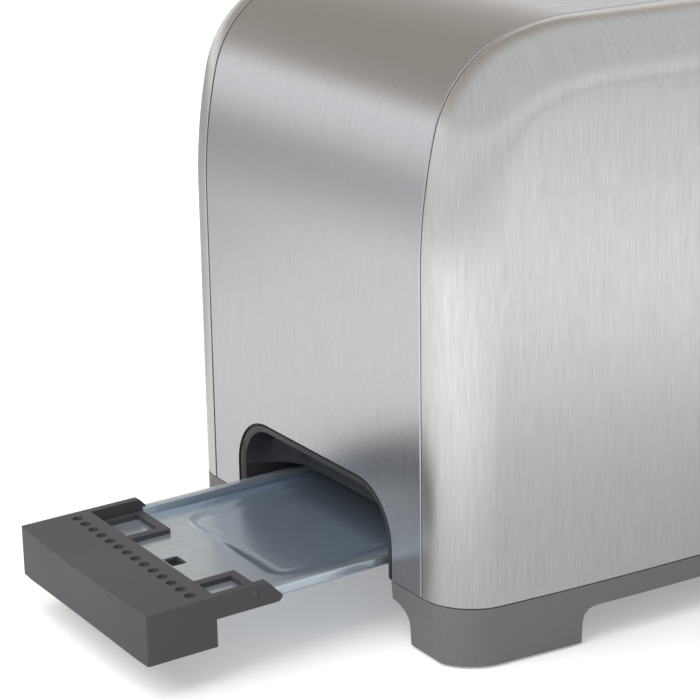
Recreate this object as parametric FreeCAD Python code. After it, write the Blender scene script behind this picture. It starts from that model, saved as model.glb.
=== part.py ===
import FreeCAD, Part
import math
import os

# Two-slice toaster, in millimetres. Lengths along X start at the body's left end, where the crumb tray comes
# out, and the front panel faces -Y. write_part moves everything so that the origin lies under the middle.

# Outer shell
body_length = 286.0
body_depth = 171.0
body_height = 189.0
panel_bottom = 19.75
sheet = 0.8
shoulder_radii = (165.0, 36.0, 82.0)
shoulder_turns = (14.0, 58.0, 18.0)
panel_depth = 25.5
seam_gap = 0.3
panel_bow = 9.2
panel_edge_radius = 18.0
joggle_depth = 7.0
joggle_clearance = 0.15
arc_steps = (2, 5, 2)
top_steps = 4
edge_steps = 5

# Base moulding
base_wall = 2.5
shadow_gap = 0.4
foot_height = 12.1
end_arch_rise = 1.3
front_foot_length = 45.0
end_arch_half_width = 52.3
front_arch_radius = 4.5
end_arch_radius = 8.0
foot_draft = 1.7
tongue_height = 6.0
tongue_thickness = 2.0
tongue_corner = 26.0
pad_inset = 7.0
pad_recess = 1.0
pad_stand_out = 0.8
foot_pad_clearance = 0.2

# Bread slots
slot_length = 130.0
slot_width = 32.0
slot_corner_radius = 5.0
slot_lip_depth = 6.0

# Tray opening, its liner and the finger scoop
opening_beside_handle = 3.8
opening_top = 48.0
opening_radius = 17.5
liner_gap = 0.3
liner_rim = 3.2
liner_depth = 24.0
liner_flange = 3.6
liner_flange_thickness = 1.4
scoop_depth = 17.5
scoop_bottom = 29.6
scoop_corner = 15.0

# Crumb tray and handle
tray_draw = 82.0
tray_inside_handle = 0.7
tray_to_window = 2.2
tray_sheet = 0.7
tray_floor = 23.1
tray_hem_top = 26.0
tray_hem_width = 3.2
tray_tail_gap = 5.0
tray_bead_from_edge = 9.8
tray_bead_width = 3.8
tray_bead_depth = 0.35
tray_bead_radius = 8.0
tray_bead_start = 27.0
handle_half_width = 40.5
handle_bottom = 12.6
handle_top = 28.7
handle_depth = 23.2
handle_bow = 1.1
handle_slab = 2.6
handle_wall = 2.3
handle_corner = 0.8
handle_lower_arch = 1.0
arm_thickness = 2.5
arm_reach = 23.0
arm_bottom = 21.4
dimple_count = 14
dimple_sides = 8
dimple_pitch = 5.45
dimple_diameter = 3.5
dimple_from_face = 17.3
frame_reach = 18.4
frame_thickness = 1.6
frame_width = 21.0
frame_bar = 3.0
window_from_side = 4.7
snap_length = 5.0
snap_width = 6.5
snap_from_slab = 8.9

# Chassis
plate_sheet = 1.0
plate_beyond_slot = 8.0
shoulder_beyond_leg = 6.5
chassis_bottom = 30.0
chassis_upper_z = 180.0
leg_beside_window = 5.5
heater_board = 0.8
board_from_shield = 2.4
centre_board_y = 4.4
board_bottom = 36.0
board_top = 166.0
board_tab = 3.0
tab_half = 4.5
ribbon_turns = 7
ribbon_margin = 8.0
ribbon_from_plate = 7.0
ribbon_width = 2.0
ribbon_thickness = 0.3
shield_sheet = 0.6

# Bread guards, carriers and carriage
guard_sheet = 1.2
guard_bar = 2.4
guard_columns = 4
guard_rod_radius = 1.3
tab_rise = 1.2
guard_offset = 15.0
guard_pivot_z = 38.0
guard_pin_z = 112.0
guard_top_z = 164.0
guard_swing = 4.3
pin_clearance = 0.35
pivot_clearance = 0.06
lever_travel = 56.0
carrier_rest_z = 104.0
carrier_thickness = 1.2
carrier_height = 8.0
carrier_tab_reach = 9.0
carrier_tab_width = 4.0
carrier_tabs = 6
carriage_sheet = 1.4
carriage_gap = 2.0
carriage_bottom = 100.0
carriage_top = 174.0
bridge_top = 122.0
guide_rod_radius = 2.5
guide_rod_from_plate = 15.0
guide_rod_y = 25.0
ear_half_width = 5.5
rod_clearance = 0.08
ear_low_z = 128.0
ear_high_z = 150.0
bush_radius = 4.4
rod_bracket_z = 33.0
spring_radius = 4.6
spring_wire = 0.9
spring_turns = 7
spring_steps = 8

# Lever, latch and switch
lever_arm_z = 107.0
lever_arm_height = 7.0
lever_arm_thickness = 1.6
lever_slot_width = 5.2
knob_half_width = 12.5
knob_height = 11.0
knob_length = 20.0
keeper_thickness = 1.6
magnet_from_plate = 8.0
magnet_length = 20.0
magnet_y = -30.0
magnet_width = 22.0
magnet_height = 26.0
magnet_leg = 6.0
latch_gap = 0.1
switch_length = 24.0
switch_height = 16.0
switch_width = 5.0
switch_y = 8.0
leaf_thickness = 0.4
leaf_gap = 3.0

# Controls at the right end
bezel_half_width = 44.3
bezel_bottom = 33.7
bezel_top = 120.0
bezel_radius = 17.5
bezel_stand_out = 1.4
bezel_lip = 3.2
bezel_depth = 5.0
bezel_wall = 2.2
board_from_end = 24.0
board_thickness = 1.6
dial_y = 29.0
dial_z = 78.0
dial_radius = 13.0
dial_depth = 14.0
dial_gap = 0.6
shaft_radius = 3.0
button_y = -27.0
button_z = (56.0, 78.0, 100.0)
button_width = 15.0
button_height = 8.0
button_radius = 3.0
button_stand_out = 2.6
button_travel = 1.6
button_gap = 0.3
lens_half_width = 1.1
lens_half_height = 2.6
lens_offset_y = 12.5

# Cord outlet
cord_bush_bore = 3.6
cord_bush_radius = 6.0
cord_bush_flange = 8.5
cord_outlet_from_end = 60.0
cord_outlet_from_rear = 19.5

# Small corners are stepped so that the mesh stays light
largest_small_corner = 5.0
small_corner_steps = 3

# Worked out from the sizes above
half_length = body_length / 2
half_depth = body_depth / 2
band_half = half_depth - panel_depth
panel_bow_radius = (half_length ** 2 + panel_bow ** 2) / (2 * panel_bow)
base_top = panel_bottom - shadow_gap
foot_bottom = pad_stand_out
pad_bottom = 0.0
chassis_length = slot_length + 2 * plate_beyond_slot
left_plate_x = half_length - chassis_length / 2
right_plate_x = left_plate_x + chassis_length - plate_sheet
tray_half_width = handle_half_width - tray_inside_handle
window_half_width = tray_half_width + tray_to_window
plate_leg_y = window_half_width + leg_beside_window
chassis_half_width = plate_leg_y + shoulder_beyond_leg
outer_board_y = chassis_half_width - board_from_shield
slot_centre_y = (outer_board_y + centre_board_y) / 2
guide_rod_x = right_plate_x + guide_rod_from_plate
magnet_x = right_plate_x + plate_sheet + magnet_from_plate
cord_outlet_x = body_length - cord_outlet_from_end
cord_outlet_y = half_depth - cord_outlet_from_rear
opening_half_width = handle_half_width + opening_beside_handle
tray_tail_closed = right_plate_x - tray_tail_gap
tray_bead_half_width = tray_half_width - tray_bead_from_edge
frame_inner_y = handle_half_width - frame_width
window_outer_y = handle_half_width - window_from_side
slot_start = half_length - slot_length / 2
tray_face_x = -tray_draw - 0.2
slab_back_x = tray_face_x + handle_depth
lever_reach = bezel_stand_out + knob_length + 1.6
origin_x = (body_length + lever_reach + tray_face_x - handle_bow) / 2


def at(x, y, z):
    return FreeCAD.Vector(x, y, z)


def box(x0, x1, y0, y1, z0, z1):
    """A block between two corners."""
    return Part.makeBox(x1 - x0, y1 - y0, z1 - z0, at(x0, y0, z0))


def rod(x, y, z, radius, length, axis):
    """A round bar that starts at x, y, z and runs along axis."""
    return Part.makeCylinder(radius, length, at(x, y, z), axis)


ALONG_X = at(1, 0, 0)
ALONG_Y = at(0, 1, 0)
ALONG_Z = at(0, 0, 1)


def corner_points(before, after, centre, radius):
    """Points between the two ends of a small rounded corner, at even steps of its arc."""
    first = (before - centre) * (1 / radius)
    last = (after - centre) * (1 / radius)
    sweep = first.getAngle(last)
    points = []
    for i in range(1, small_corner_steps):
        a = sweep * i / small_corner_steps
        way = (first * math.sin(sweep - a) + last * math.sin(a)) * (1 / math.sin(sweep))
        points.append(centre + way * radius)
    return points


def rounded_wire(corners, place):
    """A closed outline through corners (a, b, radius), each rounded by a tangent arc where the radius isn't 0.
    The arc of a small radius is drawn in a few straight steps."""
    count = len(corners)
    starts, ends, middles, centres = [], [], [], []
    for i in range(count):
        a, b, radius = corners[i]
        here = at(a, b, 0)
        before = at(*corners[i - 1][:2], 0) - here
        after = at(*corners[(i + 1) % count][:2], 0) - here
        before.normalize()
        after.normalize()
        if radius == 0:
            starts.append(here)
            ends.append(here)
            middles.append(None)
            centres.append(None)
            continue
        half = before.getAngle(after) / 2
        along = radius / math.tan(half)
        inward = before + after
        inward.normalize()
        centre = here + inward * (radius / math.sin(half))
        starts.append(here + before * along)
        ends.append(here + after * along)
        middles.append(centre - inward * radius)
        centres.append(centre)
    edges = []

    def straight(points):
        for near, far in zip(points, points[1:]):
            if (far - near).Length > 1e-6:
                edges.append(Part.LineSegment(place(near), place(far)).toShape())

    for i in range(count):
        radius = corners[i][2]
        if radius > largest_small_corner:
            edges.append(Part.Arc(place(starts[i]), place(middles[i]), place(ends[i])).toShape())
        elif radius > 0:
            straight([starts[i]] + corner_points(starts[i], ends[i], centres[i], radius) + [ends[i]])
        straight([ends[i], starts[(i + 1) % count]])
    return Part.Wire(edges)


def slab_xy(corners, z0, z1):
    """An outline in X and Y, carried up from z0 to z1."""
    wire = rounded_wire(corners, lambda p: at(p.x, p.y, z0))
    return Part.Face(wire).extrude(at(0, 0, z1 - z0))


def slab_xz(corners, y0, y1):
    """An outline in X and Z, carried along Y from y0 to y1."""
    wire = rounded_wire(corners, lambda p: at(p.x, y0, p.y))
    return Part.Face(wire).extrude(at(0, y1 - y0, 0))


def slab_yz(corners, x0, x1):
    """An outline in Y and Z, carried along X from x0 to x1."""
    wire = rounded_wire(corners, lambda p: at(x0, p.x, p.y))
    return Part.Face(wire).extrude(at(x1 - x0, 0, 0))


def rounded_rectangle(a0, a1, b0, b1, radius):
    return [(a0, b0, radius), (a1, b0, radius), (a1, b1, radius), (a0, b1, radius)]


def arch_door(half_width, bottom, top, radius):
    """A doorway outline: square at the foot and rounded at the two upper corners."""
    return [(-half_width, bottom, 0), (half_width, bottom, 0), (half_width, top, radius),
            (-half_width, top, radius)]


def join(shapes):
    whole = shapes[0]
    if len(shapes) > 1:
        whole = whole.multiFuse(shapes[1:])
    return whole.removeSplitter()


def mirror_y(shape):
    return shape.mirror(at(0, 0, 0), ALONG_Y)


def write_part(name, shapes):
    """Move the node's solids into the part's frame and write them to their file."""
    solids = [s for shape in shapes for s in shape.Solids]
    for solid in solids:
        if not solid.isValid() or solid.Volume <= 0:
            raise ValueError(name + " has a solid that isn't sound")
    whole = solids[0] if len(solids) == 1 else Part.makeCompound(solids)
    whole = whole.copy()
    whole.translate(at(-origin_x, 0, 0))
    whole.exportStep("parts/" + name + ".step")
    print(name, len(solids), round(sum(s.Volume for s in solids), 1))


# Outer shell: one outline of the body seen from the front, made of a long, a tight and a middling arc at each
# shoulder, gives the band, the panels and everything that fits inside them.
def shoulder_arcs(inset):
    """The left shoulder as three arcs (start, middle, end), from the upright end to the flat top."""
    turns = [math.radians(t) for t in shoulder_turns]
    rise = 0.0
    angle = 0.0
    for radius, turn in zip(shoulder_radii, turns):
        rise += radius * (math.sin(angle + turn) - math.sin(angle))
        angle += turn
    centre_x = shoulder_radii[0]
    centre_z = body_height - rise
    arcs = []
    angle = 0.0
    for i, (radius, turn) in enumerate(zip(shoulder_radii, turns)):
        if i:
            step = shoulder_radii[i - 1] - radius
            centre_x -= step * math.cos(angle)
            centre_z += step * math.sin(angle)
        reach = radius - inset
        arcs.append([(centre_x - reach * math.cos(a), centre_z + reach * math.sin(a))
                     for a in (angle, angle + turn / 2, angle + turn)])
        angle += turn
    return arcs


def crown_prism(inset, y0, y1, bottom):
    """The body's outline seen from the front, drawn in by inset, carried along Y and cut off flat at bottom."""
    arcs = shoulder_arcs(inset)
    edges = []

    def point(place):
        return at(place[0], y0, place[1])

    def far(place):
        return at(body_length - place[0], y0, place[1])

    edges.append(Part.LineSegment(at(inset, y0, bottom), point(arcs[0][0])).toShape())
    for a, b, c in arcs:
        edges.append(Part.Arc(point(a), point(b), point(c)).toShape())
    edges.append(Part.LineSegment(point(arcs[-1][2]), far(arcs[-1][2])).toShape())
    for a, b, c in reversed(arcs):
        edges.append(Part.Arc(far(c), far(b), far(a)).toShape())
    edges.append(Part.LineSegment(far(arcs[0][0]), at(body_length - inset, y0, bottom)).toShape())
    edges.append(Part.LineSegment(at(body_length - inset, y0, bottom), at(inset, y0, bottom)).toShape())
    return Part.Face(Part.Wire(edges)).extrude(at(0, y1 - y0, 0))


def bow_prism(inset, bottom, top, back):
    """Everything between the plane y = back and the bowed face of the front, drawn in by inset."""
    radius = panel_bow_radius - inset
    centre_y = -half_depth + panel_bow_radius
    overhang = 30.0

    def face_y(x):
        return centre_y - math.sqrt(radius ** 2 - (x - half_length) ** 2)

    left, right = -overhang, body_length + overhang
    arc = Part.Arc(at(left, face_y(left), bottom), at(half_length, face_y(half_length), bottom),
                   at(right, face_y(right), bottom)).toShape()
    wire = Part.Wire([arc,
                      Part.LineSegment(at(right, face_y(right), bottom), at(right, back, bottom)).toShape(),
                      Part.LineSegment(at(right, back, bottom), at(left, back, bottom)).toShape(),
                      Part.LineSegment(at(left, back, bottom), at(left, face_y(left), bottom)).toShape()])
    return Part.Face(wire).extrude(at(0, 0, top - bottom))


def crown_stations(inset):
    """Matching points round the drawn-in outline from foot to foot, each with the way straight out of it."""
    half = []
    angle = 0.0
    for (first, _, _), radius, turn, steps in zip(shoulder_arcs(inset), shoulder_radii, shoulder_turns,
                                                  arc_steps):
        reach = radius - inset
        centre_x = first[0] + reach * math.cos(math.radians(angle))
        centre_z = first[1] - reach * math.sin(math.radians(angle))
        for i in range(steps):
            a = math.radians(angle + turn * i / steps)
            half.append((centre_x - reach * math.cos(a), centre_z + reach * math.sin(a), -math.cos(a),
                         math.sin(a)))
        angle += turn
    end_x, end_z = shoulder_arcs(inset)[-1][2]
    half.append((end_x, end_z, 0.0, 1.0))
    half.insert(0, (inset, panel_bottom, -1.0, 0.0))
    flat = []
    for i in range(1, top_steps):
        x = end_x + (body_length - 2 * end_x) * i / top_steps
        flat.append((x, end_z, 0.0, 1.0))
    return half + flat + [(body_length - x, z, -nx, nz) for x, z, nx, nz in reversed(half)]


def rounded_edge(station, inset, behind=0.0):
    """Points round the panel's edge at one station, from the side to the bowed face. The first two points are moved
    round so that none lies behind the plane y = behind."""
    x, z, out_x, out_z = station
    centre_y = -half_depth + panel_bow_radius
    reach = panel_bow_radius - panel_edge_radius
    face = at(x - half_length, -math.sqrt(reach ** 2 - (x - half_length) ** 2), 0)
    middle = at(x, centre_y + face.y, z)
    face.normalize()
    side = at(out_x, 0, out_z)
    corner = side.getAngle(face)
    radius = panel_edge_radius - inset
    turns = [corner * i / edge_steps for i in range(edge_steps + 1)]
    if middle.y > behind:
        clear = math.asin((behind - middle.y) * math.sin(corner) / (radius * face.y))
        turns = [clear, 2 * clear] + turns[1:]
    elif behind < 0:
        turns = [0.0] + turns
    points = []
    for turn in turns:
        way = (side * math.sin(corner - turn) + face * math.sin(turn)) * (1 / math.sin(corner))
        points.append(middle + way * radius)
    if middle.y <= behind < 0:
        points[0] = at(points[0].x, behind, points[0].z)
    return points


def front_panel():
    """A deep-drawn pressing, open below, with a stepped flange that goes in under the edge of the band."""
    rim = -band_half - seam_gap / 2
    inner = sheet + joggle_clearance
    stations = crown_stations(panel_edge_radius)
    outlines = {inset: crown_stations(inset) for inset in (0.0, inner, inner + sheet)}
    flange = [(0.0, rim), (inner, rim), (inner, rim + joggle_depth), (inner + sheet, rim + joggle_depth),
              (inner + sheet, rim - 2 * sheet)]
    loops = []
    for i, station in enumerate(stations):
        loop = list(reversed(rounded_edge(station, 0)))
        for inset, y in flange:
            x, z = outlines[inset][i][:2]
            loop.append(at(x, y, z))
        loops.append(loop + rounded_edge(station, sheet, rim - 2 * sheet))
    faces = []
    last = len(loops[0]) - 1
    for here, after in zip(loops, loops[1:]):
        for k in range(last):
            a, b, c, d = here[k], here[k + 1], after[k + 1], after[k]
            faces.append(Part.Face(Part.makePolygon([a, b, c, a])))
            faces.append(Part.Face(Part.makePolygon([a, c, d, a])))
    lowest = {}
    for row in (0, last):
        lowest[row] = [at(loop[row].x, loop[row].y, panel_bottom) for loop in loops[1:-1]]
        for i in range(1, len(loops) - 2):
            near, far = loops[i][row], loops[i + 1][row]
            low_near, low_far = lowest[row][i - 1], lowest[row][i]
            faces.append(Part.Face(Part.makePolygon([low_near, low_far, far, near, low_near])))
    under = loops[0] + lowest[last][1:-1] + list(reversed(loops[-1])) + list(reversed(lowest[0][1:-1]))
    faces.append(Part.Face(Part.makePolygon(under + under[:1])))
    return Part.Solid(Part.Shell(faces))


def bread_slot(grow, z0, z1, side):
    middle = side * slot_centre_y
    half = slot_width / 2 + grow
    return slab_xy(rounded_rectangle(slot_start - grow, slot_start + slot_length + grow, middle - half,
                                     middle + half, slot_corner_radius + grow), z0, z1)


def end_band():
    """The wrap of sheet over both ends and the top, with turned-down lips round the bread slots."""
    edge = band_half - seam_gap / 2
    band = crown_prism(0, -edge, edge, panel_bottom).cut(crown_prism(sheet, -edge, edge, 0))
    lips = []
    for side in (-1, 1):
        lip = bread_slot(sheet, body_height - slot_lip_depth, body_height - sheet / 2, side)
        lips.append(lip)
    band = join([band] + lips)
    for side in (-1, 1):
        band = band.cut(bread_slot(0, body_height - 2 * slot_lip_depth, body_height + 5, side))
    band = band.cut(slab_yz(arch_door(opening_half_width, 0, opening_top, opening_radius), -5, 5))
    cut_out = rounded_rectangle(-bezel_half_width + bezel_lip, bezel_half_width - bezel_lip,
                                bezel_bottom + bezel_lip, bezel_top - bezel_lip, bezel_radius - bezel_lip)
    return band.cut(slab_yz(cut_out, body_length - 5, body_length + 5))


# Base moulding: a thin-walled pan whose corners drop to form four feet.
def plan_prism(inset, z0, z1):
    """The body's outline seen from above, drawn in by inset, between two heights."""
    front = bow_prism(inset, z0, z1, 0)
    whole = front.fuse(mirror_y(front)).removeSplitter()
    whole = whole.common(box(inset, body_length - inset, -half_depth - 5, half_depth + 5, z0, z1))
    corners = [e for e in whole.Edges if abs(e.BoundBox.ZLength - (z1 - z0)) < 1e-6
               and abs(abs(e.BoundBox.Center.x - half_length) - (half_length - inset)) < 1e-3
               and abs(e.BoundBox.Center.y) > band_half]
    return whole.makeFillet(panel_edge_radius - inset, corners)


def foot_arches(grow):
    """The two long gaps under the base that leave a foot at each corner, grown by grow to the sides and up.
    Their rounded corners are on the outside only."""
    low = -5.0
    foot = front_foot_length - grow
    draft = 0.6
    lengthwise = slab_xz([(foot - draft, low, 0), (body_length - foot + draft, low, 0),
                          (body_length - foot, foot_height + grow, 0 if grow else front_arch_radius),
                          (foot, foot_height + grow, 0 if grow else front_arch_radius)],
                         -half_depth - 10, half_depth + 10)
    end_top = foot_height + end_arch_rise + grow
    crosswise = slab_yz(arch_door(end_arch_half_width + grow, low, end_top, 0 if grow else end_arch_radius),
                        -10, body_length + 10)
    return lengthwise.fuse(crosswise)


def pad_shape(grow, z0, z1):
    """The four foot pads, each following the corner of its foot."""
    inner = plan_prism(pad_inset - grow, z0, z1)
    reach_x = front_foot_length - pad_inset + grow
    reach_y = end_arch_half_width + pad_inset - grow
    pads = []
    for x0, x1 in ((0, reach_x), (body_length - reach_x, body_length)):
        for y0, y1 in ((-half_depth, -reach_y), (reach_y, half_depth)):
            pads.append(inner.common(box(x0, x1, y0, y1, z0, z1)))
    return pads


def base_frame():
    outer = plan_prism(0, foot_bottom, base_top)
    taper = slab_xz([(foot_draft, foot_bottom, 0), (body_length - foot_draft, foot_bottom, 0),
                     (body_length, base_top, 0), (0, base_top, 0)], -half_depth - 5, half_depth + 5)
    outer = outer.common(taper).cut(foot_arches(0))
    hollow = plan_prism(base_wall, foot_bottom + base_wall, base_top + 5)
    inner_taper = slab_xz([(foot_draft + base_wall, foot_bottom, 0),
                           (body_length - foot_draft - base_wall, foot_bottom, 0),
                           (body_length - base_wall, base_top, 0), (body_length - base_wall, base_top + 6, 0),
                           (base_wall, base_top + 6, 0), (base_wall, base_top, 0)],
                          -half_depth - 5, half_depth + 5)
    hollow = hollow.common(inner_taper).cut(foot_arches(base_wall))
    pan = outer.cut(hollow)
    inside = sheet + seam_gap
    tongue = plan_prism(inside, base_top - 2, base_top + tongue_height)
    tongue = tongue.cut(plan_prism(inside + tongue_thickness, base_top - 3, base_top + tongue_height + 1))
    for x0, x1 in ((-1, tongue_corner), (body_length - tongue_corner, body_length + 1)):
        for y0, y1 in ((-half_depth, tongue_corner - half_depth), (half_depth - tongue_corner, half_depth)):
            tongue = tongue.cut(box(x0, x1, y0, y1, base_top, base_top + tongue_height + 1))
    joggle = sheet + joggle_clearance + sheet + seam_gap
    for side in (-1, 1):
        middle = side * (band_half - joggle_depth / 2)
        for x0, x1 in ((-1, joggle), (body_length - joggle, body_length + 1)):
            tongue = tongue.cut(box(x0, x1, middle - joggle_depth / 2 - 3, middle + joggle_depth / 2 + 3,
                                    base_top, base_top + 10))
    frame = join([pan, tongue])
    frame = frame.cut(box(-5, notch_depth, -opening_half_width, opening_half_width, 0, base_top + 10))
    frame = frame.cut(box(*window_x, -window_half_width, window_half_width, 0, base_top - 2))
    for pocket in pad_shape(foot_pad_clearance, foot_bottom - 1, foot_bottom + pad_recess):
        frame = frame.cut(pocket)
    return frame.cut(rod(cord_outlet_x, cord_outlet_y, 0, cord_bush_radius, base_top, ALONG_Z))


base_deck = foot_height + base_wall
middle_deck = base_deck + end_arch_rise
notch_depth = liner_depth + 2.0
window_x = (left_plate_x - 10.0, right_plate_x + plate_sheet + 10.0)


def bottom_plate():
    """The vented steel plate over the window in the base, under the crumb tray."""
    margin = 5.0
    x0, x1 = window_x[0] - margin, window_x[1] + margin
    half = window_half_width + margin - 1
    plate = slab_xy(rounded_rectangle(x0, x1, -half, half, 4.0), middle_deck, middle_deck + sheet)
    vent_pitch = 36.0
    vent_count = 4
    first = half_length - vent_pitch * (vent_count - 1) / 2
    for i in range(vent_count):
        x = first + i * vent_pitch
        for y in (-22.0, 22.0):
            plate = plate.cut(box(x - 2.5, x + 2.5, y - 15, y + 15, middle_deck - 1, middle_deck + 2))
    return plate


def cord_bush():
    """The bored bush in the base that the mains cord passes through."""
    neck = rod(cord_outlet_x, cord_outlet_y, foot_height, cord_bush_radius - 0.02, base_wall + 2.5, ALONG_Z)
    flange = box(cord_outlet_x - cord_bush_flange, cord_outlet_x + cord_bush_flange,
                 cord_outlet_y - cord_bush_flange, cord_outlet_y + cord_bush_flange, foot_height - 2.0, foot_height)
    bore = rod(cord_outlet_x, cord_outlet_y, 0, cord_bush_bore, base_top + 20, ALONG_Z)
    return neck.fuse(flange).cut(bore).removeSplitter()


# Tray opening liner: a rim, a flange behind the band, side walls and the scooped finger pocket.
def tray_opening_liner():
    outer_half = opening_half_width - liner_gap
    outer_top = opening_top - liner_gap
    outer_radius = opening_radius - liner_gap
    inner_half = outer_half - liner_rim
    inner_top = outer_top - liner_rim
    inner_radius = outer_radius - liner_rim
    bottom = foot_height + end_arch_rise
    face = 0.3
    tube = slab_yz(arch_door(outer_half, bottom, outer_top, outer_radius), face, liner_depth)
    tube = tube.cut(slab_yz(arch_door(inner_half, 0, inner_top, inner_radius), -5, liner_depth + 5))
    flange_x = sheet + 0.2
    flange = slab_yz(arch_door(outer_half + liner_flange, base_top + tongue_height + 1,
                               outer_top + liner_flange, outer_radius + liner_flange),
                     flange_x, flange_x + liner_flange_thickness)
    flange = flange.cut(slab_yz(arch_door(inner_half, 0, inner_top, inner_radius), -5, liner_depth + 5))
    plug = slab_yz(arch_door(inner_half + 1, scoop_bottom, inner_top + 1, inner_radius + 1),
                   face + 1.0, scoop_depth + base_wall)
    plan = slab_xy(rounded_rectangle(-scoop_depth, scoop_depth, -inner_half, inner_half, scoop_corner),
                   scoop_bottom - 1, outer_top)
    arc_mid = math.sqrt(0.5)
    rise = inner_top - scoop_bottom
    profile = Part.Wire([
        Part.LineSegment(at(-1, -60, scoop_bottom - 1), at(scoop_depth, -60, scoop_bottom - 1)).toShape(),
        Part.LineSegment(at(scoop_depth, -60, scoop_bottom - 1),
                         at(scoop_depth, -60, scoop_bottom)).toShape(),
        Part.Arc(at(scoop_depth, -60, scoop_bottom),
                 at(face + (scoop_depth - face) * arc_mid, -60, scoop_bottom + rise * arc_mid),
                 at(face, -60, inner_top)).toShape(),
        Part.LineSegment(at(face, -60, inner_top), at(-1, -60, inner_top)).toShape(),
        Part.LineSegment(at(-1, -60, inner_top), at(-1, -60, scoop_bottom - 1)).toShape()])
    scoop = Part.Face(profile).extrude(at(0, 120, 0))
    doorway = slab_yz(arch_door(inner_half, 0, inner_top, inner_radius), -5, liner_depth)
    plug = plug.cut(scoop.common(plan).common(doorway))
    return join([tube, flange, plug])


# Crumb tray and its handle, drawn out as the photo shows them.
def crumb_tray():
    tail = tray_tail_closed - tray_draw
    hem_start = slab_back_x + frame_reach - 0.2
    under = tray_floor - tray_sheet
    front = box(tray_face_x + 4.0, hem_start + 1, -handle_half_width + arm_thickness + 0.2,
                handle_half_width - arm_thickness - 0.2, under, tray_floor)
    half = tray_half_width
    roll = (tray_hem_top - under) / 2
    profile = [(-half, under, roll * 0.9), (half, under, roll * 0.9), (half, tray_hem_top, roll * 0.9),
               (half - tray_hem_width, tray_hem_top, roll * 0.7), (half - tray_hem_width, tray_floor, 0),
               (-half + tray_hem_width, tray_floor, 0), (-half + tray_hem_width, tray_hem_top, roll * 0.7),
               (-half, tray_hem_top, roll * 0.9)]
    pan = slab_yz(profile, hem_start, tail)
    stop = box(tail - tray_sheet, tail, -half + tray_hem_width, half - tray_hem_width, under, tray_hem_top)
    pan = join([front, pan, stop])
    bead_x0 = slab_back_x + tray_bead_start
    bead_x1 = tail - 10.0

    def bead_ring(z0, z1):
        ring = slab_xy(rounded_rectangle(bead_x0, bead_x1, -tray_bead_half_width, tray_bead_half_width,
                                         tray_bead_radius), z0, z1)
        w = tray_bead_width
        return ring.cut(slab_xy(rounded_rectangle(bead_x0 + w, bead_x1 - w, -tray_bead_half_width + w,
                                                  tray_bead_half_width - w, tray_bead_radius - w), z0, z1))

    pan = join([pan, bead_ring(under - tray_bead_depth, under)])
    pan = pan.cut(bead_ring(tray_floor - tray_bead_depth, tray_floor + 1))
    hole_x = slab_back_x + snap_from_slab
    return pan.cut(box(hole_x - snap_length / 2, hole_x + snap_length / 2, -snap_width / 2, snap_width / 2,
                       under - 1, tray_floor + 1))


def handle_block(inset_side, inset_front, z0, z1):
    """The handle's outline seen from above, with its bowed face."""
    half = handle_half_width - inset_side
    face = tray_face_x + inset_front
    back = slab_back_x - inset_front
    arc = Part.Arc(at(face, half, z0), at(face - handle_bow, 0, z0), at(face, -half, z0)).toShape()
    wire = Part.Wire([arc, Part.LineSegment(at(face, -half, z0), at(back, -half, z0)).toShape(),
                      Part.LineSegment(at(back, -half, z0), at(back, half, z0)).toShape(),
                      Part.LineSegment(at(back, half, z0), at(face, half, z0)).toShape()])
    return Part.Face(wire).extrude(at(0, 0, z1 - z0))


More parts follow.
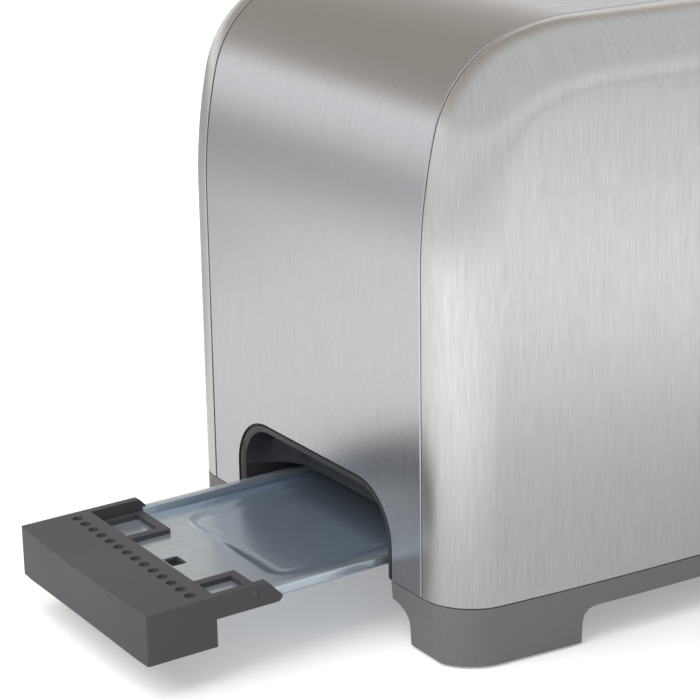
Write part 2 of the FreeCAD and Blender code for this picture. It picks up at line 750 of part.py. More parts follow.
def tray_handle():
    under = tray_floor - tray_sheet
    block = handle_block(0, 0, handle_bottom, handle_top)
    corners = [e for e in block.Edges if abs(e.BoundBox.ZLength - (handle_top - handle_bottom)) < 1e-6
               and e.BoundBox.Center.x < tray_face_x + 1]
    block = block.makeFillet(handle_corner, corners)
    rise = handle_lower_arch
    chord = handle_half_width - 6
    far = 2 * tray_face_x
    belly = Part.Wire([Part.Arc(at(far, -chord, handle_bottom), at(far, 0, handle_bottom + rise),
                                at(far, chord, handle_bottom)).toShape(),
                       Part.LineSegment(at(far, chord, handle_bottom), at(far, chord, 0)).toShape(),
                       Part.LineSegment(at(far, chord, 0), at(far, -chord, 0)).toShape(),
                       Part.LineSegment(at(far, -chord, 0), at(far, -chord, handle_bottom)).toShape()])
    block = block.cut(Part.Face(belly).extrude(at(-far, 0, 0)))
    block = block.cut(handle_block(handle_wall, handle_wall, 0, under - handle_wall))
    arm_end = slab_back_x + arm_reach
    arm = slab_xz([(slab_back_x - 1, arm_bottom, 0), (arm_end - 1.6, arm_bottom, 0.8),
                   (arm_end, arm_bottom + 1.6, 0.8),
                   (arm_end - 2.4, tray_hem_top - 0.6, 2.0), (arm_end - 5.4, handle_top, 1.5),
                   (slab_back_x - 1, handle_top, 0)], handle_half_width - arm_thickness, handle_half_width)
    arms = [arm, mirror_y(arm)]
    outer_y = handle_half_width - arm_thickness
    frame_x1 = slab_back_x + frame_reach
    frame = box(slab_back_x - 1, frame_x1, frame_inner_y, outer_y + 0.5, tray_floor,
                tray_floor + frame_thickness)
    frame = frame.cut(box(slab_back_x, frame_x1 - frame_bar, frame_inner_y + frame_bar, window_outer_y,
                          tray_floor - 1, tray_floor + 5))
    frames = [frame, mirror_y(frame)]
    hole_x = slab_back_x + snap_from_slab
    tongue = box(slab_back_x - 1, hole_x + snap_length, -snap_width, snap_width, under - handle_wall, under)
    nub = box(hole_x - snap_length / 2 + 0.3, hole_x + snap_length / 2 - 0.3, -snap_width / 2 + 0.3,
              snap_width / 2 - 0.3, under - 1, tray_floor - 0.2)
    handle = join([block] + arms)
    pocket = box(tray_face_x + 3.8, 0, -outer_y, outer_y, under, handle_top - handle_slab)
    hem = box(frame_x1 - 0.4, 0, -tray_half_width - 0.12, tray_half_width + 0.12, 0, tray_hem_top + 0.12)
    handle = handle.cut(pocket).cut(hem)
    handle = join([handle, tongue, nub] + frames)
    dimple_x = tray_face_x + dimple_from_face
    first = -dimple_pitch * (dimple_count - 1) / 2
    for i in range(dimple_count):
        y = first + i * dimple_pitch
        ring = []
        for k in range(dimple_sides + 1):
            a = 2 * math.pi * k / dimple_sides
            ring.append(at(dimple_x + dimple_diameter / 2 * math.cos(a), y + dimple_diameter / 2 * math.sin(a),
                           handle_top - handle_slab + 0.8))
        handle = handle.cut(Part.Face(Part.makePolygon(ring)).extrude(at(0, 0, 5)))
    return handle


def tray_rails():
    """Two channels on the base that the rolled edges of the tray run in."""
    t = 0.9
    floor = tray_floor - tray_sheet - 0.3
    web = tray_half_width + 0.5
    lip = tray_hem_top + 0.4
    foot = middle_deck + sheet
    half_chord = window_half_width + 3.5
    profile = [(web - 6, floor - t, 0), (web, floor - t, 0), (web, foot, 0), (half_chord, foot, 0),
               (half_chord, foot + t, 0), (web + t, foot + t, 0), (web + t, lip + t, 0), (web - 3, lip + t, 0),
               (web - 3, lip, 0), (web, lip, 0), (web, floor, 0), (web - 6, floor, 0)]
    rail = slab_yz(profile, window_x[0] - 3, right_plate_x)
    return [rail, mirror_y(rail)]


# Chassis: two upright plates joined by a top frame, with the heaters, shields and guards hung between them.
def chassis_plate(x, right):
    half = chassis_half_width
    leg = plate_leg_y
    outline = [(-half, middle_deck, 0), (-leg, middle_deck, 0), (-leg, chassis_bottom, 0),
               (leg, chassis_bottom, 0), (leg, middle_deck, 0), (half, middle_deck, 0),
               (half, chassis_upper_z, 0), (-half, chassis_upper_z, 0)]
    plate = slab_yz(outline, x, x + plate_sheet)
    x0, x1 = x - 1, x + plate_sheet + 1
    carrier_low = carrier_rest_z - lever_travel - 2.0
    carrier_high = carrier_rest_z + carrier_height + 2.0
    for side in (-1, 1):
        middle = side * slot_centre_y
        half_gap = carrier_thickness / 2 + 0.8
        plate = plate.cut(box(x0, x1, middle - half_gap, middle + half_gap, carrier_low, carrier_high))
        for way in (-1, 1):
            y = middle + way * guard_offset
            plate = plate.cut(rod(x0, y, guard_pivot_z, guard_rod_radius + pivot_clearance, 6, ALONG_X))
            shift = pin_shift()
            slack = guard_sheet / 2 + pin_clearance
            y0, y1 = sorted((y + way * slack, y - way * (shift + slack)))
            plate = plate.cut(box(x0, x1, y0, y1, guard_pin_z - tab_rise - 0.7, guard_pin_z + tab_rise + 0.4))
    for y in (-outer_board_y, -centre_board_y, centre_board_y, outer_board_y):
        for z in tab_heights(right):
            plate = plate.cut(box(x0, x1, y - heater_board / 2 - 0.1, y + heater_board / 2 + 0.1,
                                  z - tab_half - 0.1, z + tab_half + 0.1))
    if right:
        ears = []
        for z in (rod_bracket_z, chassis_upper_z - plate_sheet):
            ears.append(box(x, guide_rod_x + 7, guide_rod_y - ear_half_width, guide_rod_y + ear_half_width,
                            z, z + plate_sheet))
        plate = join([plate] + ears)
        plate = plate.cut(rod(guide_rod_x, guide_rod_y, chassis_upper_z - 2 * plate_sheet, guide_rod_radius + 0.02,
                              10, ALONG_Z))
    return plate


def pin_shift():
    """How far a guard's driven pin moves towards the bread when the guard has swung right in."""
    return (guard_pin_z - guard_pivot_z) * math.sin(math.radians(guard_swing))


def ribbon_pitch():
    return (board_top - board_bottom - 2 * ribbon_margin) / ribbon_turns


def tab_heights(right):
    """Where a board's tabs pass between two turns of its ribbon."""
    lead = 1.0 if right else 0.5
    first = board_bottom + ribbon_margin + ribbon_width / 2 + ribbon_pitch() * lead
    return (first + ribbon_pitch(), first + 4 * ribbon_pitch())


def top_frame():
    """The sheet that ties the two plates together under the bread slots."""
    x0, x1 = left_plate_x - 6, right_plate_x + plate_sheet + 6
    frame = box(x0, x1, -chassis_half_width, chassis_half_width, chassis_upper_z, chassis_upper_z + plate_sheet)
    for side in (-1, 1):
        middle = side * slot_centre_y
        half = slot_width / 2 + 2 * sheet
        frame = frame.cut(box(slot_start - 2 * sheet, slot_start + slot_length + 2 * sheet, middle - half,
                              middle + half, chassis_upper_z - 1, chassis_upper_z + 5))
    return frame


def heater_board_at(y):
    """An insulating board as wide as its winding, with tabs that go through both chassis plates."""
    x0 = left_plate_x + plate_sheet + ribbon_from_plate
    x1 = right_plate_x - ribbon_from_plate
    reach = ribbon_from_plate + board_tab
    half = heater_board / 2
    parts = [box(x0, x1, y - half, y + half, board_bottom, board_top)]
    for z in tab_heights(False):
        parts.append(box(x0 - reach, x0 + 1, y - half, y + half, z - tab_half, z + tab_half))
    for z in tab_heights(True):
        parts.append(box(x1 - 1, x1 + reach, y - half, y + half, z - tab_half, z + tab_half))
    return join(parts)


def wound_bar(sections):
    """A solid strip or wire through four-cornered sections."""
    sheets = [sections[0], sections[-1]]
    for first, second in zip(sections, sections[1:]):
        for k in range(4):
            sheets.append([first[k], first[(k + 1) % 4], second[(k + 1) % 4], second[k]])
    faces = []
    for a, b, c, d in sheets:
        faces.append(Part.Face(Part.makePolygon([a, b, c, a])))
        faces.append(Part.Face(Part.makePolygon([a, c, d, a])))
    return Part.Solid(Part.Shell(faces))


def heater_ribbon(y):
    """One unbroken resistance ribbon wound round a board, climbing on the front and the back of each turn."""
    x0 = left_plate_x + plate_sheet + ribbon_from_plate
    x1 = right_plate_x - ribbon_from_plate
    low = board_bottom + ribbon_margin
    pitch = ribbon_pitch()
    inner = heater_board / 2 + 0.05
    outer = inner + ribbon_thickness
    ring = [(x0, -1, -1), (x1, 1, -1), (x1, 1, 1), (x0, -1, 1)]
    up = at(0, 0, ribbon_width)
    sections = []
    climb = 0
    for i in range(4 * ribbon_turns):
        x, way_x, way_y = ring[i % 4]
        z = low + pitch * climb / 2
        near = at(x + way_x * 0.1, y + way_y * inner, z)
        off = at(x + way_x * (0.1 + ribbon_thickness), y + way_y * outer, z)
        sections.append([near, off, off + up, near + up])
        if i % 2 == 0:
            climb += 1
    return wound_bar(sections)


def heat_shield(side):
    """A reflector sheet outside each outer heater, hooked to the edges of the two plates."""
    y0 = side * chassis_half_width
    y1 = side * (chassis_half_width + shield_sheet)
    low, high = sorted((y0, y1))
    return box(left_plate_x, right_plate_x + plate_sheet, low, high, chassis_bottom + 2, chassis_upper_z)


def bread_guard(side, way):
    """A stamped grid on a bottom rod that turns in both plates. The carriage drives a tab at its right edge."""
    y = side * slot_centre_y + way * guard_offset
    x0 = left_plate_x + plate_sheet
    inside = chassis_length - 2 * plate_sheet
    beyond = plate_sheet + 1.5
    half = guard_sheet / 2
    left, right = x0 + 2.0, x0 + inside - 2.0
    grid = box(left, right, y - half, y + half, guard_pivot_z, guard_top_z)
    bar = guard_bar
    pitch = (right - left - bar) / guard_columns
    for i in range(guard_columns):
        grid = grid.cut(box(left + bar + i * pitch, left + (i + 1) * pitch, y - 5, y + 5,
                            guard_pivot_z + guard_rod_radius + 1.5, guard_top_z - bar))
    reach = right_plate_x + plate_sheet + carriage_gap + carriage_sheet + 1.5
    tab = box(right - 1, reach, y - half, y + half, guard_pin_z - tab_rise, guard_pin_z + tab_rise)
    pivot = rod(x0 - beyond, y, guard_pivot_z, guard_rod_radius, inside + 2 * beyond, ALONG_X)
    return join([grid, tab, pivot])


# Carriage: the plate, its bushed ears and the lever arm rise and fall together with both bread carriers.
carriage_x = right_plate_x + plate_sheet + carriage_gap


def drive_slot(side, way):
    """The slanted slot in the carriage plate that draws a guard's pin inwards as the plate goes down."""
    slack = guard_sheet / 2 + pin_clearance
    y0 = side * slot_centre_y + way * guard_offset
    y1 = y0 - way * pin_shift()
    z0 = guard_pin_z - tab_rise - 0.7
    z1 = guard_pin_z + lever_travel + tab_rise + 0.4
    return slab_yz([(y0 - slack, z0, 0), (y0 + slack, z0, 0), (y1 + slack, z1, 0), (y1 - slack, z1, 0)],
                   carriage_x - 1, carriage_x + carriage_sheet + 1)


def carriage():
    outer = slot_centre_y + guard_offset + 5
    inner = slot_centre_y - guard_offset - 5
    x1 = carriage_x + carriage_sheet
    plate = slab_yz([(-outer, carriage_bottom, 2), (outer, carriage_bottom, 2), (outer, carriage_top, 2),
                     (inner, carriage_top, 2), (inner, bridge_top, 3), (-inner, bridge_top, 3),
                     (-inner, carriage_top, 2), (-outer, carriage_top, 2)], carriage_x, x1)
    for side in (-1, 1):
        for way in (-1, 1):
            plate = plate.cut(drive_slot(side, way))
    parts = [plate]
    for z in (ear_low_z, ear_high_z):
        parts.append(box(carriage_x, guide_rod_x + 6, guide_rod_y - ear_half_width,
                         guide_rod_y + ear_half_width, z, z + carriage_sheet))
    parts.append(rod(guide_rod_x, guide_rod_y, ear_low_z, bush_radius, ear_high_z - ear_low_z, ALONG_Z))
    arm_end = body_length + bezel_stand_out + 1.6 + 12
    half = lever_arm_thickness / 2
    parts.append(box(carriage_x, arm_end, -half, half, lever_arm_z - lever_arm_height / 2,
                     lever_arm_z + lever_arm_height / 2))
    keeper_tab = box(carriage_x, magnet_x + magnet_length, magnet_y + 4, magnet_y + magnet_width - 4,
                     keeper_rest_z() + keeper_thickness, keeper_rest_z() + keeper_thickness + carriage_sheet)
    parts.append(keeper_tab)
    whole = join(parts)
    return whole.cut(rod(guide_rod_x, guide_rod_y, 0, guide_rod_radius + rod_clearance, body_height, ALONG_Z))


def magnet_top():
    return carriage_bottom - lever_travel + 1.0


def keeper_rest_z():
    return magnet_top() + latch_gap + lever_travel


def latch_keeper():
    z = keeper_rest_z()
    return box(magnet_x, magnet_x + magnet_length, magnet_y, magnet_y + magnet_width, z, z + keeper_thickness)


def magnet_core():
    """A U-shaped iron core on a bracket that stands off the right chassis plate."""
    top = magnet_top()
    low = top - magnet_height
    y1 = magnet_y + magnet_width
    core = box(magnet_x, magnet_x + magnet_length, magnet_y, y1, low, top)
    core = core.cut(box(magnet_x - 1, magnet_x + magnet_length + 1, magnet_y + magnet_leg, y1 - magnet_leg,
                        low + magnet_leg, top + 1))
    bracket = box(right_plate_x + plate_sheet, magnet_x, y1 - magnet_leg, y1, chassis_bottom + 0.5,
                  guard_pivot_z - 2.5)
    return core.fuse(bracket).removeSplitter()


def magnet_coil():
    """The coil on the outer leg of the core."""
    top = magnet_top()
    wall = 3.0
    x0, x1 = magnet_x - wall, magnet_x + magnet_length + wall
    y0, y1 = magnet_y - wall, magnet_y + magnet_leg + wall
    coil = slab_xy(rounded_rectangle(x0, x1, y0, y1, 2.5), top - magnet_height + magnet_leg + 1, top - 2)
    return coil.cut(box(magnet_x - 0.05, magnet_x + magnet_length + 0.05, magnet_y - 0.05,
                        magnet_y + magnet_leg + 0.05, 0, top + 5))


def guide_rod():
    """A round bar that stands on the lower ear of the plate and is held by the upper one."""
    foot = rod_bracket_z + plate_sheet
    return rod(guide_rod_x, guide_rod_y, foot, guide_rod_radius, chassis_upper_z - foot - 0.2, ALONG_Z)


def return_spring():
    """A compression spring round the guide rod, from the lower ear of the plate to the carriage."""
    half = spring_wire / 2
    low = rod_bracket_z + plate_sheet + half + 0.1
    height = ear_low_z - low - half - 0.1
    count = spring_turns * spring_steps
    sections = []
    for i in range(count + 1):
        a = 2 * math.pi * i / spring_steps
        z = low + height * i / count
        place = [(spring_radius - half, z - half), (spring_radius + half, z - half),
                 (spring_radius + half, z + half), (spring_radius - half, z + half)]
        sections.append([at(guide_rod_x + r * math.cos(a), guide_rod_y + r * math.sin(a), h)
                         for r, h in place])
    return wound_bar(sections)


def bread_carrier(side):
    """A blade with tabs bent out to both sides, which the bread stands on, staked to the carriage at its right
    end."""
    y = side * slot_centre_y
    half = carrier_thickness / 2
    x0 = left_plate_x - 4
    top = carrier_rest_z + carrier_height
    blade = box(x0, carriage_x, y - half, y + half, carrier_rest_z, top)
    span = chassis_length - 2 * plate_sheet - 24
    first = left_plate_x + plate_sheet + 12
    tabs = []
    for i in range(carrier_tabs):
        x = first + i * span / (carrier_tabs - 1)
        tabs.append(box(x - carrier_tab_width / 2, x + carrier_tab_width / 2, y - carrier_tab_reach,
                        y + carrier_tab_reach, top - carrier_thickness, top))
    return join([blade] + tabs)


def lever_knob():
    """The grip on the lever arm, broad and slightly hollowed on top for a finger."""
    x0 = body_length + bezel_stand_out + 1.6
    x1 = x0 + knob_length
    half_z = knob_height / 2
    grip = slab_xy([(x0, -knob_half_width + 3, 4), (x1, -knob_half_width, 5), (x1, knob_half_width, 5),
                    (x0, knob_half_width - 3, 4)], lever_arm_z - half_z, lever_arm_z + half_z)
    hollow_radius = 60.0
    dip = 2.0
    hollow = rod(x0 - 5, 0, lever_arm_z + half_z + hollow_radius - dip, hollow_radius, knob_length + 10, ALONG_X)
    grip = grip.cut(hollow)
    half = lever_arm_thickness / 2 + 0.03
    return grip.cut(box(x0 - 1, x0 + 12.05, -half, half, lever_arm_z - lever_arm_height / 2 - 0.03,
                        lever_arm_z + lever_arm_height / 2 + 0.03))


def mains_switch():
    """The contact block beside the magnet. The carriage presses its leaves together at the end of its travel."""
    low = middle_deck + 1
    top = low + switch_height
    x0 = right_plate_x + plate_sheet
    y0, y1 = switch_y, switch_y + switch_width
    block = box(x0, x0 + switch_length, y0, y1, low, top)
    leaves = [box(x0 + 3, x0 + switch_length - 1, y0 + 0.5, y1 - 0.5, z, z + leaf_thickness)
              for z in (top, top + leaf_gap)]
    spacer = box(x0 + 3, x0 + 8, y0 + 0.5, y1 - 0.5, top + leaf_thickness, top + leaf_gap)
    return join([block] + leaves + [spacer])


# Controls: everything behind and in the bezel.
board_x = body_length - board_from_end


def control_board():
    arm_room = 9.0
    low = bezel_bottom - 6
    high = bezel_top - 4
    half = bezel_half_width - 2
    foot = lever_arm_z - lever_travel - lever_arm_height / 2 - 4
    outline = [(-half, low, 2), (half, low, 2), (half, high, 2), (arm_room, high, 0), (arm_room, foot, 0),
               (-arm_room, foot, 0), (-arm_room, high, 0), (-half, high, 2)]
    return slab_yz(outline, board_x, board_x + board_thickness)


def board_parts():
    """Relay, capacitor, controller and push switches on the circuit board."""
    back = board_x
    face = board_x + board_thickness
    relay_y = guide_rod_y + ear_half_width + 1.5
    relay = box(back - 14, back, relay_y, relay_y + 10, 92, 110)
    capacitor = rod(back - 12, relay_y + 4.5, 66, 4.5, 12, ALONG_X)
    chip = box(back - 1.6, back, -36, -20, 60, 80)
    switches = [box(face, face + 4, button_y - 3, button_y + 3, z - 3, z + 3) for z in button_z]
    return [relay, capacitor, chip] + switches


def potentiometer():
    face = board_x + board_thickness
    body = box(face, face + 7, dial_y - 8, dial_y + 8, dial_z - 8, dial_z + 8)
    neck = rod(face + 7, dial_y, dial_z, 4.5, 4.0, ALONG_X)
    bore = rod(face + 3, dial_y, dial_z, shaft_radius + pivot_clearance, 20, ALONG_X)
    return body.fuse(neck).cut(bore).removeSplitter()


def dial_shaft():
    start = board_x + board_thickness + 3.5
    end = body_length + bezel_stand_out + dial_gap + dial_depth - 4
    return rod(start, dial_y, dial_z, shaft_radius, end - start, ALONG_X)


def browning_knob():
    """A round knob with a finger bar across its face, pushed on to the potentiometer's shaft."""
    x0 = body_length + bezel_stand_out + dial_gap
    skirt = rod(x0, dial_y, dial_z, dial_radius, 4.0, ALONG_X)
    grip = Part.makeCone(dial_radius - 1.5, dial_radius - 2.5, dial_depth - 4, at(x0 + 4, dial_y, dial_z),
                         ALONG_X)
    for way in (-1, 1):
        y0, y1 = sorted((dial_y + way * 3.2, dial_y + way * (dial_radius + 1)))
        grip = grip.cut(box(x0 + 7, x0 + dial_depth + 1, y0, y1, dial_z - 20, dial_z + 20))
    knob = skirt.fuse(grip).removeSplitter()
    return knob.cut(rod(x0 - 1, dial_y, dial_z, shaft_radius + 0.02, dial_depth - 3, ALONG_X))


def push_button(z):
    """A cap in its window with a stem that reaches the switch on the board."""
    front = body_length + bezel_stand_out + button_stand_out
    back = body_length - bezel_depth - 1
    half_y = button_width / 2
    half_z = button_height / 2
    cap = slab_yz(rounded_rectangle(button_y - half_y, button_y + half_y, z - half_z, z + half_z, button_radius),
                  back, front)
    collar_half = half_y + 1.5
    collar = box(back - 1.5, back, button_y - collar_half, button_y + collar_half, z - half_z - 1,
                 z + half_z + 1)
    stem = box(board_x + board_thickness + 4 + button_travel + 0.4, back, button_y - 2, button_y + 2,
               z - 2, z + 2)
    return join([cap, collar, stem])


def lens_bar(z, grow, x0, x1):
    y = button_y + lens_offset_y
    return box(x0, x1, y - lens_half_width - grow, y + lens_half_width + grow, z - lens_half_height - grow,
               z + lens_half_height + grow)


def indicator_lenses():
    """Three light bars, one beside each button."""
    return [lens_bar(z, 0, body_length - bezel_depth, body_length + bezel_stand_out + 0.4) for z in button_z]


def control_bezel():
    """The plastic fascia: a rim on the steel, a plug through it, windows for lever, dial shaft and buttons."""
    lip = bezel_lip
    face_x = body_length + bezel_stand_out
    back_x = body_length - bezel_depth
    rim = slab_yz(rounded_rectangle(-bezel_half_width, bezel_half_width, bezel_bottom, bezel_top, bezel_radius),
                  body_length + 0.02, face_x)
    plug_half = bezel_half_width - lip - 0.25
    plug = slab_yz(rounded_rectangle(-plug_half, plug_half, bezel_bottom + lip + 0.25, bezel_top - lip - 0.25,
                                     bezel_radius - lip - 0.25), back_x, body_length + 0.5)
    room = bezel_wall
    plug = plug.cut(slab_yz(rounded_rectangle(-plug_half + room, plug_half - room,
                                              bezel_bottom + lip + 0.25 + room,
                                              bezel_top - lip - 0.25 - room, largest_small_corner),
                            back_x - 1, face_x - room))
    posts = [box(board_x + board_thickness, face_x - 1, y - 2.5, y + 2.5, z - 2.5, z + 2.5)
             for y in (-33.0, 33.0) for z in (bezel_bottom + 9, bezel_top - 9)]
    bezel = join([rim, plug] + posts)
    arm_half = lever_slot_width / 2
    low = lever_arm_z - lever_travel - lever_arm_height / 2 - 1
    high = lever_arm_z + lever_arm_height / 2 + 1
    bezel = bezel.cut(slab_yz(rounded_rectangle(-arm_half, arm_half, low, high, arm_half - 0.1), back_x - 1,
                              face_x + 1))
    bezel = bezel.cut(rod(back_x - 1, dial_y, dial_z, shaft_radius + 0.6, 20, ALONG_X))
    for z in button_z:
        half_y = button_width / 2 + button_gap
        half_z = button_height / 2 + button_gap
        bezel = bezel.cut(slab_yz(rounded_rectangle(button_y - half_y, button_y + half_y, z - half_z, z + half_z,
                                                    button_radius + button_gap), back_x - 1, face_x + 1))
        bezel = bezel.cut(lens_bar(z, 0.02, back_x - 1, face_x + 1))
    return bezel


os.makedirs("parts", exist_ok=True)
front = front_panel()
write_part("end_band", [end_band()])
write_part("front_panel", [front])
write_part("rear_panel", [mirror_y(front)])
write_part("base_frame", [base_frame()])
write_part("foot_pads", pad_shape(0, pad_bottom, foot_bottom + pad_recess))
write_part("bottom_plate", [bottom_plate()])
write_part("cord_bush", [cord_bush()])
write_part("tray_opening_liner", [tray_opening_liner()])
write_part("crumb_tray", [crumb_tray()])
write_part("tray_handle", [tray_handle()])
write_part("tray_rails", tray_rails())
write_part("chassis_plate_left", [chassis_plate(left_plate_x, False)])
write_part("chassis_plate_right", [chassis_plate(right_plate_x, True)])
write_part("chassis_top_frame", [top_frame()])
for name, y in (("front", -outer_board_y), ("centre_front", -centre_board_y), ("centre_rear", centre_board_y),
                ("rear", outer_board_y)):
    write_part("heater_board_" + name, [heater_board_at(y)])
    write_part("heater_ribbon_" + name, [heater_ribbon(y)])
write_part("heat_shield_front", [heat_shield(-1)])
write_part("heat_shield_rear", [heat_shield(1)])
for slot_name, side in (("front", -1), ("rear", 1)):
    for guard_name, way in (("outer", side), ("inner", -side)):
        write_part("bread_guard_" + slot_name + "_" + guard_name, [bread_guard(side, way)])
    write_part("bread_carrier_" + slot_name, [bread_carrier(side)])
write_part("carriage", [carriage()])
write_part("guide_rod", [guide_rod()])
write_part("return_spring", [return_spring()])
write_part("lever_knob", [lever_knob()])
write_part("latch_keeper", [latch_keeper()])
write_part("magnet_core", [magnet_core()])
write_part("magnet_coil", [magnet_coil()])
write_part("mains_switch", [mains_switch()])
write_part("control_board", [control_board()])
write_part("board_parts", board_parts())
write_part("potentiometer", [potentiometer()])
write_part("dial_shaft", [dial_shaft()])
write_part("browning_knob", [browning_knob()])
for name, z in zip(("low", "middle", "high"), button_z):
    write_part("push_button_" + name, [push_button(z)])
write_part("indicator_lenses", indicator_lenses())
write_part("control_bezel", [control_bezel()])
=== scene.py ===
import math
import bmesh
import bpy
import numpy as np
from mathutils import Matrix, Vector


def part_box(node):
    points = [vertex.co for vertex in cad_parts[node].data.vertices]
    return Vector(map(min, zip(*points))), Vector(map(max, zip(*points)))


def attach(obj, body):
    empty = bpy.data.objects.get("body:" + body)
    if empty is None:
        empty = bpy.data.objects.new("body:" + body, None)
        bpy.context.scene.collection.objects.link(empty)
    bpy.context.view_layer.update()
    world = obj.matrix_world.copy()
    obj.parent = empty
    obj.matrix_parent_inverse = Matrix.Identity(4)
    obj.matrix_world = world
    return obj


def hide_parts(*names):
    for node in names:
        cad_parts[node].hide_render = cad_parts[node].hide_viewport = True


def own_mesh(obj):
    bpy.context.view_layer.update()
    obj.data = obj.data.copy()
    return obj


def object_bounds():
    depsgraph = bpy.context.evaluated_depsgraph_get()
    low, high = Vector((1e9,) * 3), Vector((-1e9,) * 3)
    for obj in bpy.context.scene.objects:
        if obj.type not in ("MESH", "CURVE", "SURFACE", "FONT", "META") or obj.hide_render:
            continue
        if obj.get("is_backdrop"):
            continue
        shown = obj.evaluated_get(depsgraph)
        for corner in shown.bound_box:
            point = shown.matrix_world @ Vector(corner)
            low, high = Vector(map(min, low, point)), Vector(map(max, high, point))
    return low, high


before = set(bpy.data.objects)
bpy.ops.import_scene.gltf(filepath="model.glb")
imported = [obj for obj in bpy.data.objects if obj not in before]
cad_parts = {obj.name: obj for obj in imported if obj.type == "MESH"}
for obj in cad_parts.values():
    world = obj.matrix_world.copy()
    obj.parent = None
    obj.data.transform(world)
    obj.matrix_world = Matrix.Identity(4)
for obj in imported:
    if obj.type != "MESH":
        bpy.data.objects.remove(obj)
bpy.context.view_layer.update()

scene = bpy.context.scene


# The camera stands in front and to the left of the toaster and looks down at the drawn tray. Its place, turn and
# focal length were found by fitting the body's corners, the seams and the tray to the photograph.
def look_from(place, yaw, pitch, roll):
    """The camera's matrix: forward is (sin yaw cos pitch, cos yaw cos pitch, -sin pitch), then it rolls about it."""
    forward = Vector((math.sin(yaw) * math.cos(pitch), math.cos(yaw) * math.cos(pitch), -math.sin(pitch)))
    right = Vector((math.cos(yaw), -math.sin(yaw), 0))
    up = right.cross(forward)
    across = right * math.cos(roll) + up * math.sin(roll)
    upward = up * math.cos(roll) - right * math.sin(roll)
    return Matrix.Translation(place) @ Matrix((across, upward, -forward)).transposed().to_4x4()


photo_pixels = 700
focal_pixels, centre_across, centre_down = 2254.68, 351.13, 351.41
camera = bpy.data.cameras.new("photo_camera")
camera.sensor_width = 36
camera.lens = focal_pixels * camera.sensor_width / photo_pixels
camera.shift_x = (photo_pixels / 2 - centre_across) / photo_pixels
camera.shift_y = (centre_down - photo_pixels / 2) / photo_pixels
camera.clip_start, camera.clip_end = 0.05, 50
scene.camera = bpy.data.objects.new("photo_camera", camera)
scene.collection.objects.link(scene.camera)
scene.camera.matrix_world = look_from((-0.46789, -0.56101, 0.30378), math.radians(33.479), math.radians(18.571),
                                      math.radians(-0.888))
scene.view_settings.view_transform = "Standard"


# The studio: white air all round with a dimmer, warmer ceiling that the brushed steel picks up above a pale strip
# at the horizon, one soft box close above that no steel mirrors, and a white floor that keeps the toaster's shadow.
def linear(colour):
    """A hex sRGB colour as linear RGBA: channel c is c / 12.92 below 0.04045, else ((c + 0.055) / 1.055) ** 2.4."""
    c = np.array([int(colour[i:i + 2], 16) for i in (1, 3, 5)]) / 255
    return (*np.where(c <= 0.04045, c / 12.92, ((c + 0.055) / 1.055) ** 2.4), 1.0)


def scaled(colour, factor):
    """A hex sRGB colour as linear RGBA, its light times factor."""
    return (*(factor * c for c in linear(colour)[:3]), 1.0)


def empty_tree(owner):
    """The node tree of a material or world, without nodes."""
    owner.use_nodes = True
    owner.node_tree.nodes.clear()
    return owner.node_tree


def add(tree, kind, sockets=(), **settings):
    """Adds a node, gives it these settings, and sets or links each named or numbered input."""
    node = tree.nodes.new(kind)
    for name, value in settings.items():
        setattr(node, name, value)
    for key, value in dict(sockets).items():
        if isinstance(value, bpy.types.NodeSocket):
            tree.links.new(value, node.inputs[key])
        else:
            node.inputs[key].default_value = value
    return node


air = bpy.data.worlds.new("studio_air")
scene.world = air
tree = empty_tree(air)
rays = add(tree, "ShaderNodeLightPath")
seen = add(tree, "ShaderNodeMath", {0: rays.outputs["Is Camera Ray"], 1: rays.outputs["Is Transmission Ray"]},
           operation="MAXIMUM")
way = add(tree, "ShaderNodeSeparateXYZ", {0: add(tree, "ShaderNodeTexCoord").outputs["Generated"]})
behind = add(tree, "ShaderNodeMapRange", {0: way.outputs["Y"], 1: 0.35, 2: 0.7}, interpolation_type="SMOOTHSTEP")
high = add(tree, "ShaderNodeMapRange", {0: way.outputs["Z"], 1: 0.18, 2: 0.42}, interpolation_type="SMOOTHSTEP")
above = add(tree, "ShaderNodeMix", {0: behind.outputs[0], 2: 0.75, 3: 0.46})
strip = add(tree, "ShaderNodeMix", {0: behind.outputs[0], 2: 0.95, 3: 1.15})
ceiling = add(tree, "ShaderNodeMix", {0: high.outputs[0], 2: strip.outputs[0], 3: above.outputs[0]})
level = add(tree, "ShaderNodeMix", {0: seen.outputs[0], 2: ceiling.outputs[0], 3: 1.0})
warmth = add(tree, "ShaderNodeMath", {0: behind.outputs[0], 1: high.outputs[0]}, operation="MULTIPLY")
tone = add(tree, "ShaderNodeMix", {0: warmth.outputs[0], 6: linear("#ffffff"), 7: linear("#fff3e2")}, data_type="RGBA")
white = add(tree, "ShaderNodeMix", {0: seen.outputs[0], 6: tone.outputs[2], 7: linear("#ffffff")}, data_type="RGBA")
back = add(tree, "ShaderNodeBackground", {"Color": white.outputs[2], "Strength": level.outputs[0]})
add(tree, "ShaderNodeOutputWorld", {"Surface": back.outputs[0]})

soft_box = bpy.data.lights.new("overhead_soft_box", "AREA")
soft_box.shape, soft_box.size, soft_box.energy = "SQUARE", 0.6, 4.4
lamp = bpy.data.objects.new("overhead_soft_box", soft_box)
lamp.matrix_world = Matrix.Translation((-0.55, -0.05, 0.65)) @ Vector((0.55, 0.05, -0.55)).to_track_quat(
    "-Z", "Y").to_matrix().to_4x4()
lamp.visible_glossy = False
scene.collection.objects.link(lamp)

